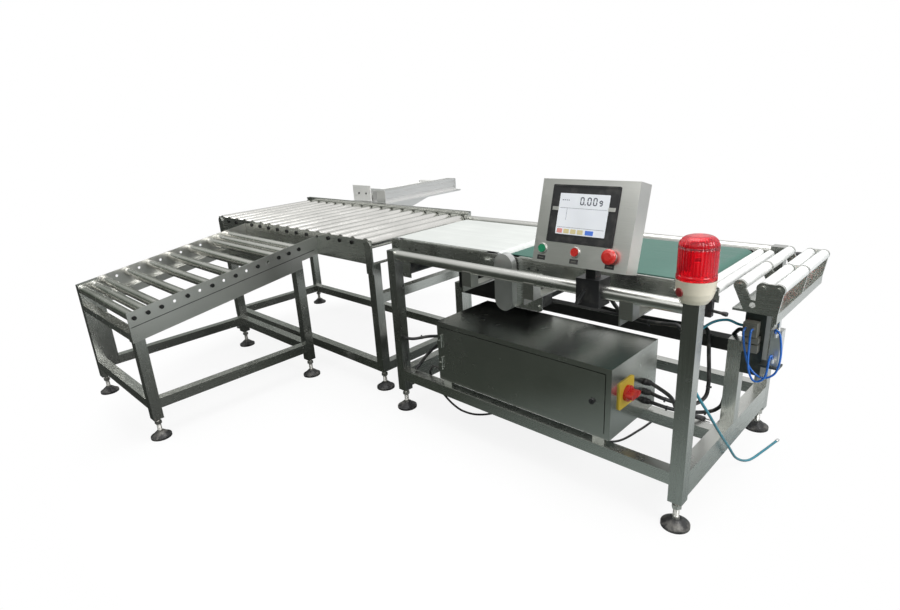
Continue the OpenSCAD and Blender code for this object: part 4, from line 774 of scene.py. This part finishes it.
thread = [(0, 7.9)] + [(0.5 + 1.0 * k, 8.05 + 0.75 * (k % 2)) for k in range(29)] + [(29.5, 7.9)]
joined("foot_threads", [turned(np.array(thread) / 1000, at([x, y, 31.5]), (0, 0, 1), 20) for x, y in feet],
       plated, smooth=False)

# %% [markdown]
# ## Floor, backdrop and light
# The machine stands in a white room. The floor and the world look white to the camera and through
# clear plastic, while the machine is lit by a darker room; a large soft lamp above, one at the
# right end and a weak one in front give the shading.

# %% Floor, world and lamps
def white_floor():
    """White to the camera, grey to everything else; pure white away from the machine."""
    f = Finish("floor_white")
    x, y = f.part("X"), f.part("Y")
    far = ((x * x + y * y) ** 0.5 * 0.6 - 0.75).at_least(0.0)
    shop = f.ramp((x + y) * 0.25 + 0.35, [(0.0, (0.008, 0.012, 0.007)), (0.3, (0.014, 0.021, 0.012)),
                                          (0.62, (0.26, 0.30, 0.29)), (1.0, (0.55, 0.57, 0.58))])
    seen = (f.node("ShaderNodeLightPath", out="Is Camera Ray")
            + f.node("ShaderNodeLightPath", out="Is Transmission Ray")).at_most(1.0)
    cloud = f.noise((1, 1, 1), 0.8, 2.0)
    f.set(base_color=f.node("ShaderNodeMix", {"data_type": "RGBA"}, {
        "Factor": seen, 6: shop, 7: (0.84, 0.84, 0.84, 1.0)}, out=2), roughness=cloud * 0.1 + 0.6)
    glow = f.node("ShaderNodeEmission", {}, {"Color": (1, 1, 1, 1), "Strength": 1.0})
    both = f.node("ShaderNodeMixShader", {}, {0: seen * (far + 0.86).at_most(1.0),
                                              1: Wire(f, f.shader.outputs[0]), 2: glow})
    f.tree.links.new(both.socket, f.tree.nodes["Material Output"].inputs["Surface"])
    return f.material


floor_mesh = bpy.data.meshes.new("floor")
REACH = 30
floor_mesh.from_pydata([(-REACH, -REACH, 0), (REACH, -REACH, 0), (REACH, REACH, 0), (-REACH, REACH, 0)],
                       [], [(0, 1, 2, 3)])
floor_mesh.materials.append(white_floor())
floor = bpy.data.objects.new("floor", floor_mesh)
bpy.context.collection.objects.link(floor)

world = bpy.data.worlds.new("room")
world.use_nodes = True
bpy.context.scene.world = world


class Room(Finish):
    """The same node writer for the world."""

    def __init__(self, world):
        self.tree = world.node_tree
        self.back = self.tree.nodes["Background"]
        self.place = self.node("ShaderNodeTexCoord", out="Generated")


room = Room(world)
height = room.part("Z") * 0.5 + 0.5
away = (room.part("X") + room.part("Y")) * 0.354 + 0.5
dark = room.ramp(height, [(0.0, (0.008, 0.012, 0.007)), (0.52, (0.016, 0.024, 0.014)),
                          (0.62, (0.12, 0.145, 0.12)), (0.78, (0.80, 0.81, 0.80)), (1.0, (0.95, 0.95, 0.95))])
lit = room.ramp(height, [(0.0, (0.20, 0.20, 0.20)), (0.46, (0.42, 0.43, 0.42)), (0.58, (0.85, 0.85, 0.85)),
                         (1.0, (0.95, 0.95, 0.95))])
walls = room.node("ShaderNodeMix", {"data_type": "RGBA"}, {
    "Factor": ((away - 0.42) * 3.0).at_least(0.0).at_most(1.0), 6: dark, 7: lit}, out=2)
seen = (room.node("ShaderNodeLightPath", out="Is Camera Ray")
        + room.node("ShaderNodeLightPath", out="Is Transmission Ray")).at_most(1.0)
room.feed(room.back.inputs["Color"], room.node("ShaderNodeMix", {"data_type": "RGBA"}, {
    "Factor": seen, 6: walls, 7: (1, 1, 1, 1)}, out=2))
room.back.inputs["Strength"].default_value = 1.0


def lamp(name, place, aim, size, power):
    """Area lamp whose -Z points at the aim."""
    light = bpy.data.lights.new(name, "AREA")
    light.shape, light.size, light.energy = "DISK", size, power
    away = np.asarray(place, float) - np.asarray(aim, float)
    z = away / np.linalg.norm(away)
    x = np.cross([0, 0, 1], z) if abs(z[2]) < 0.99 else np.array([1.0, 0, 0])
    x /= np.linalg.norm(x)
    m = np.eye(4)
    m[:3, 0], m[:3, 1], m[:3, 2], m[:3, 3] = x, np.cross(z, x), z, place
    lit = bpy.data.objects.new(name, light)
    lit.matrix_world = Matrix(m.tolist())
    bpy.context.collection.objects.link(lit)


lamp("lamp_above", (0.4, 0.2, 3.6), (0, 0, 0.4), 2.6, 60)
lamp("lamp_right", (3.6, -0.6, 2.6), (0.2, 0, 0.5), 1.8, 60)
lamp("lamp_front", (0.4, -3.6, 2.6), (-0.2, 0, 0.4), 1.6, 14)
bpy.context.scene.view_settings.view_transform = "Standard"
print("lamps:", len(bpy.data.lights))

# %% [markdown]
# ## End of the air hose
# The free end wears a push-in coupling: a ribbed sleeve turned about the hose's own line.

# %% Hose and its coupling
ribs = [(-0.012 + 0.0008 * k, 0.0050 - 0.0003 * (k % 2)) for k in range(12)]
coupling_profile = [(-0.016, 0.0038), (-0.016, 0.0047), (-0.013, 0.0050), *ribs,
                    (-0.002, 0.0050), (0.0, 0.0046), (0.0004, 0.0038)]
coupling = joined("hose_coupling", [turned(coupling_profile, hose_line[-1], tip_way)], polished)
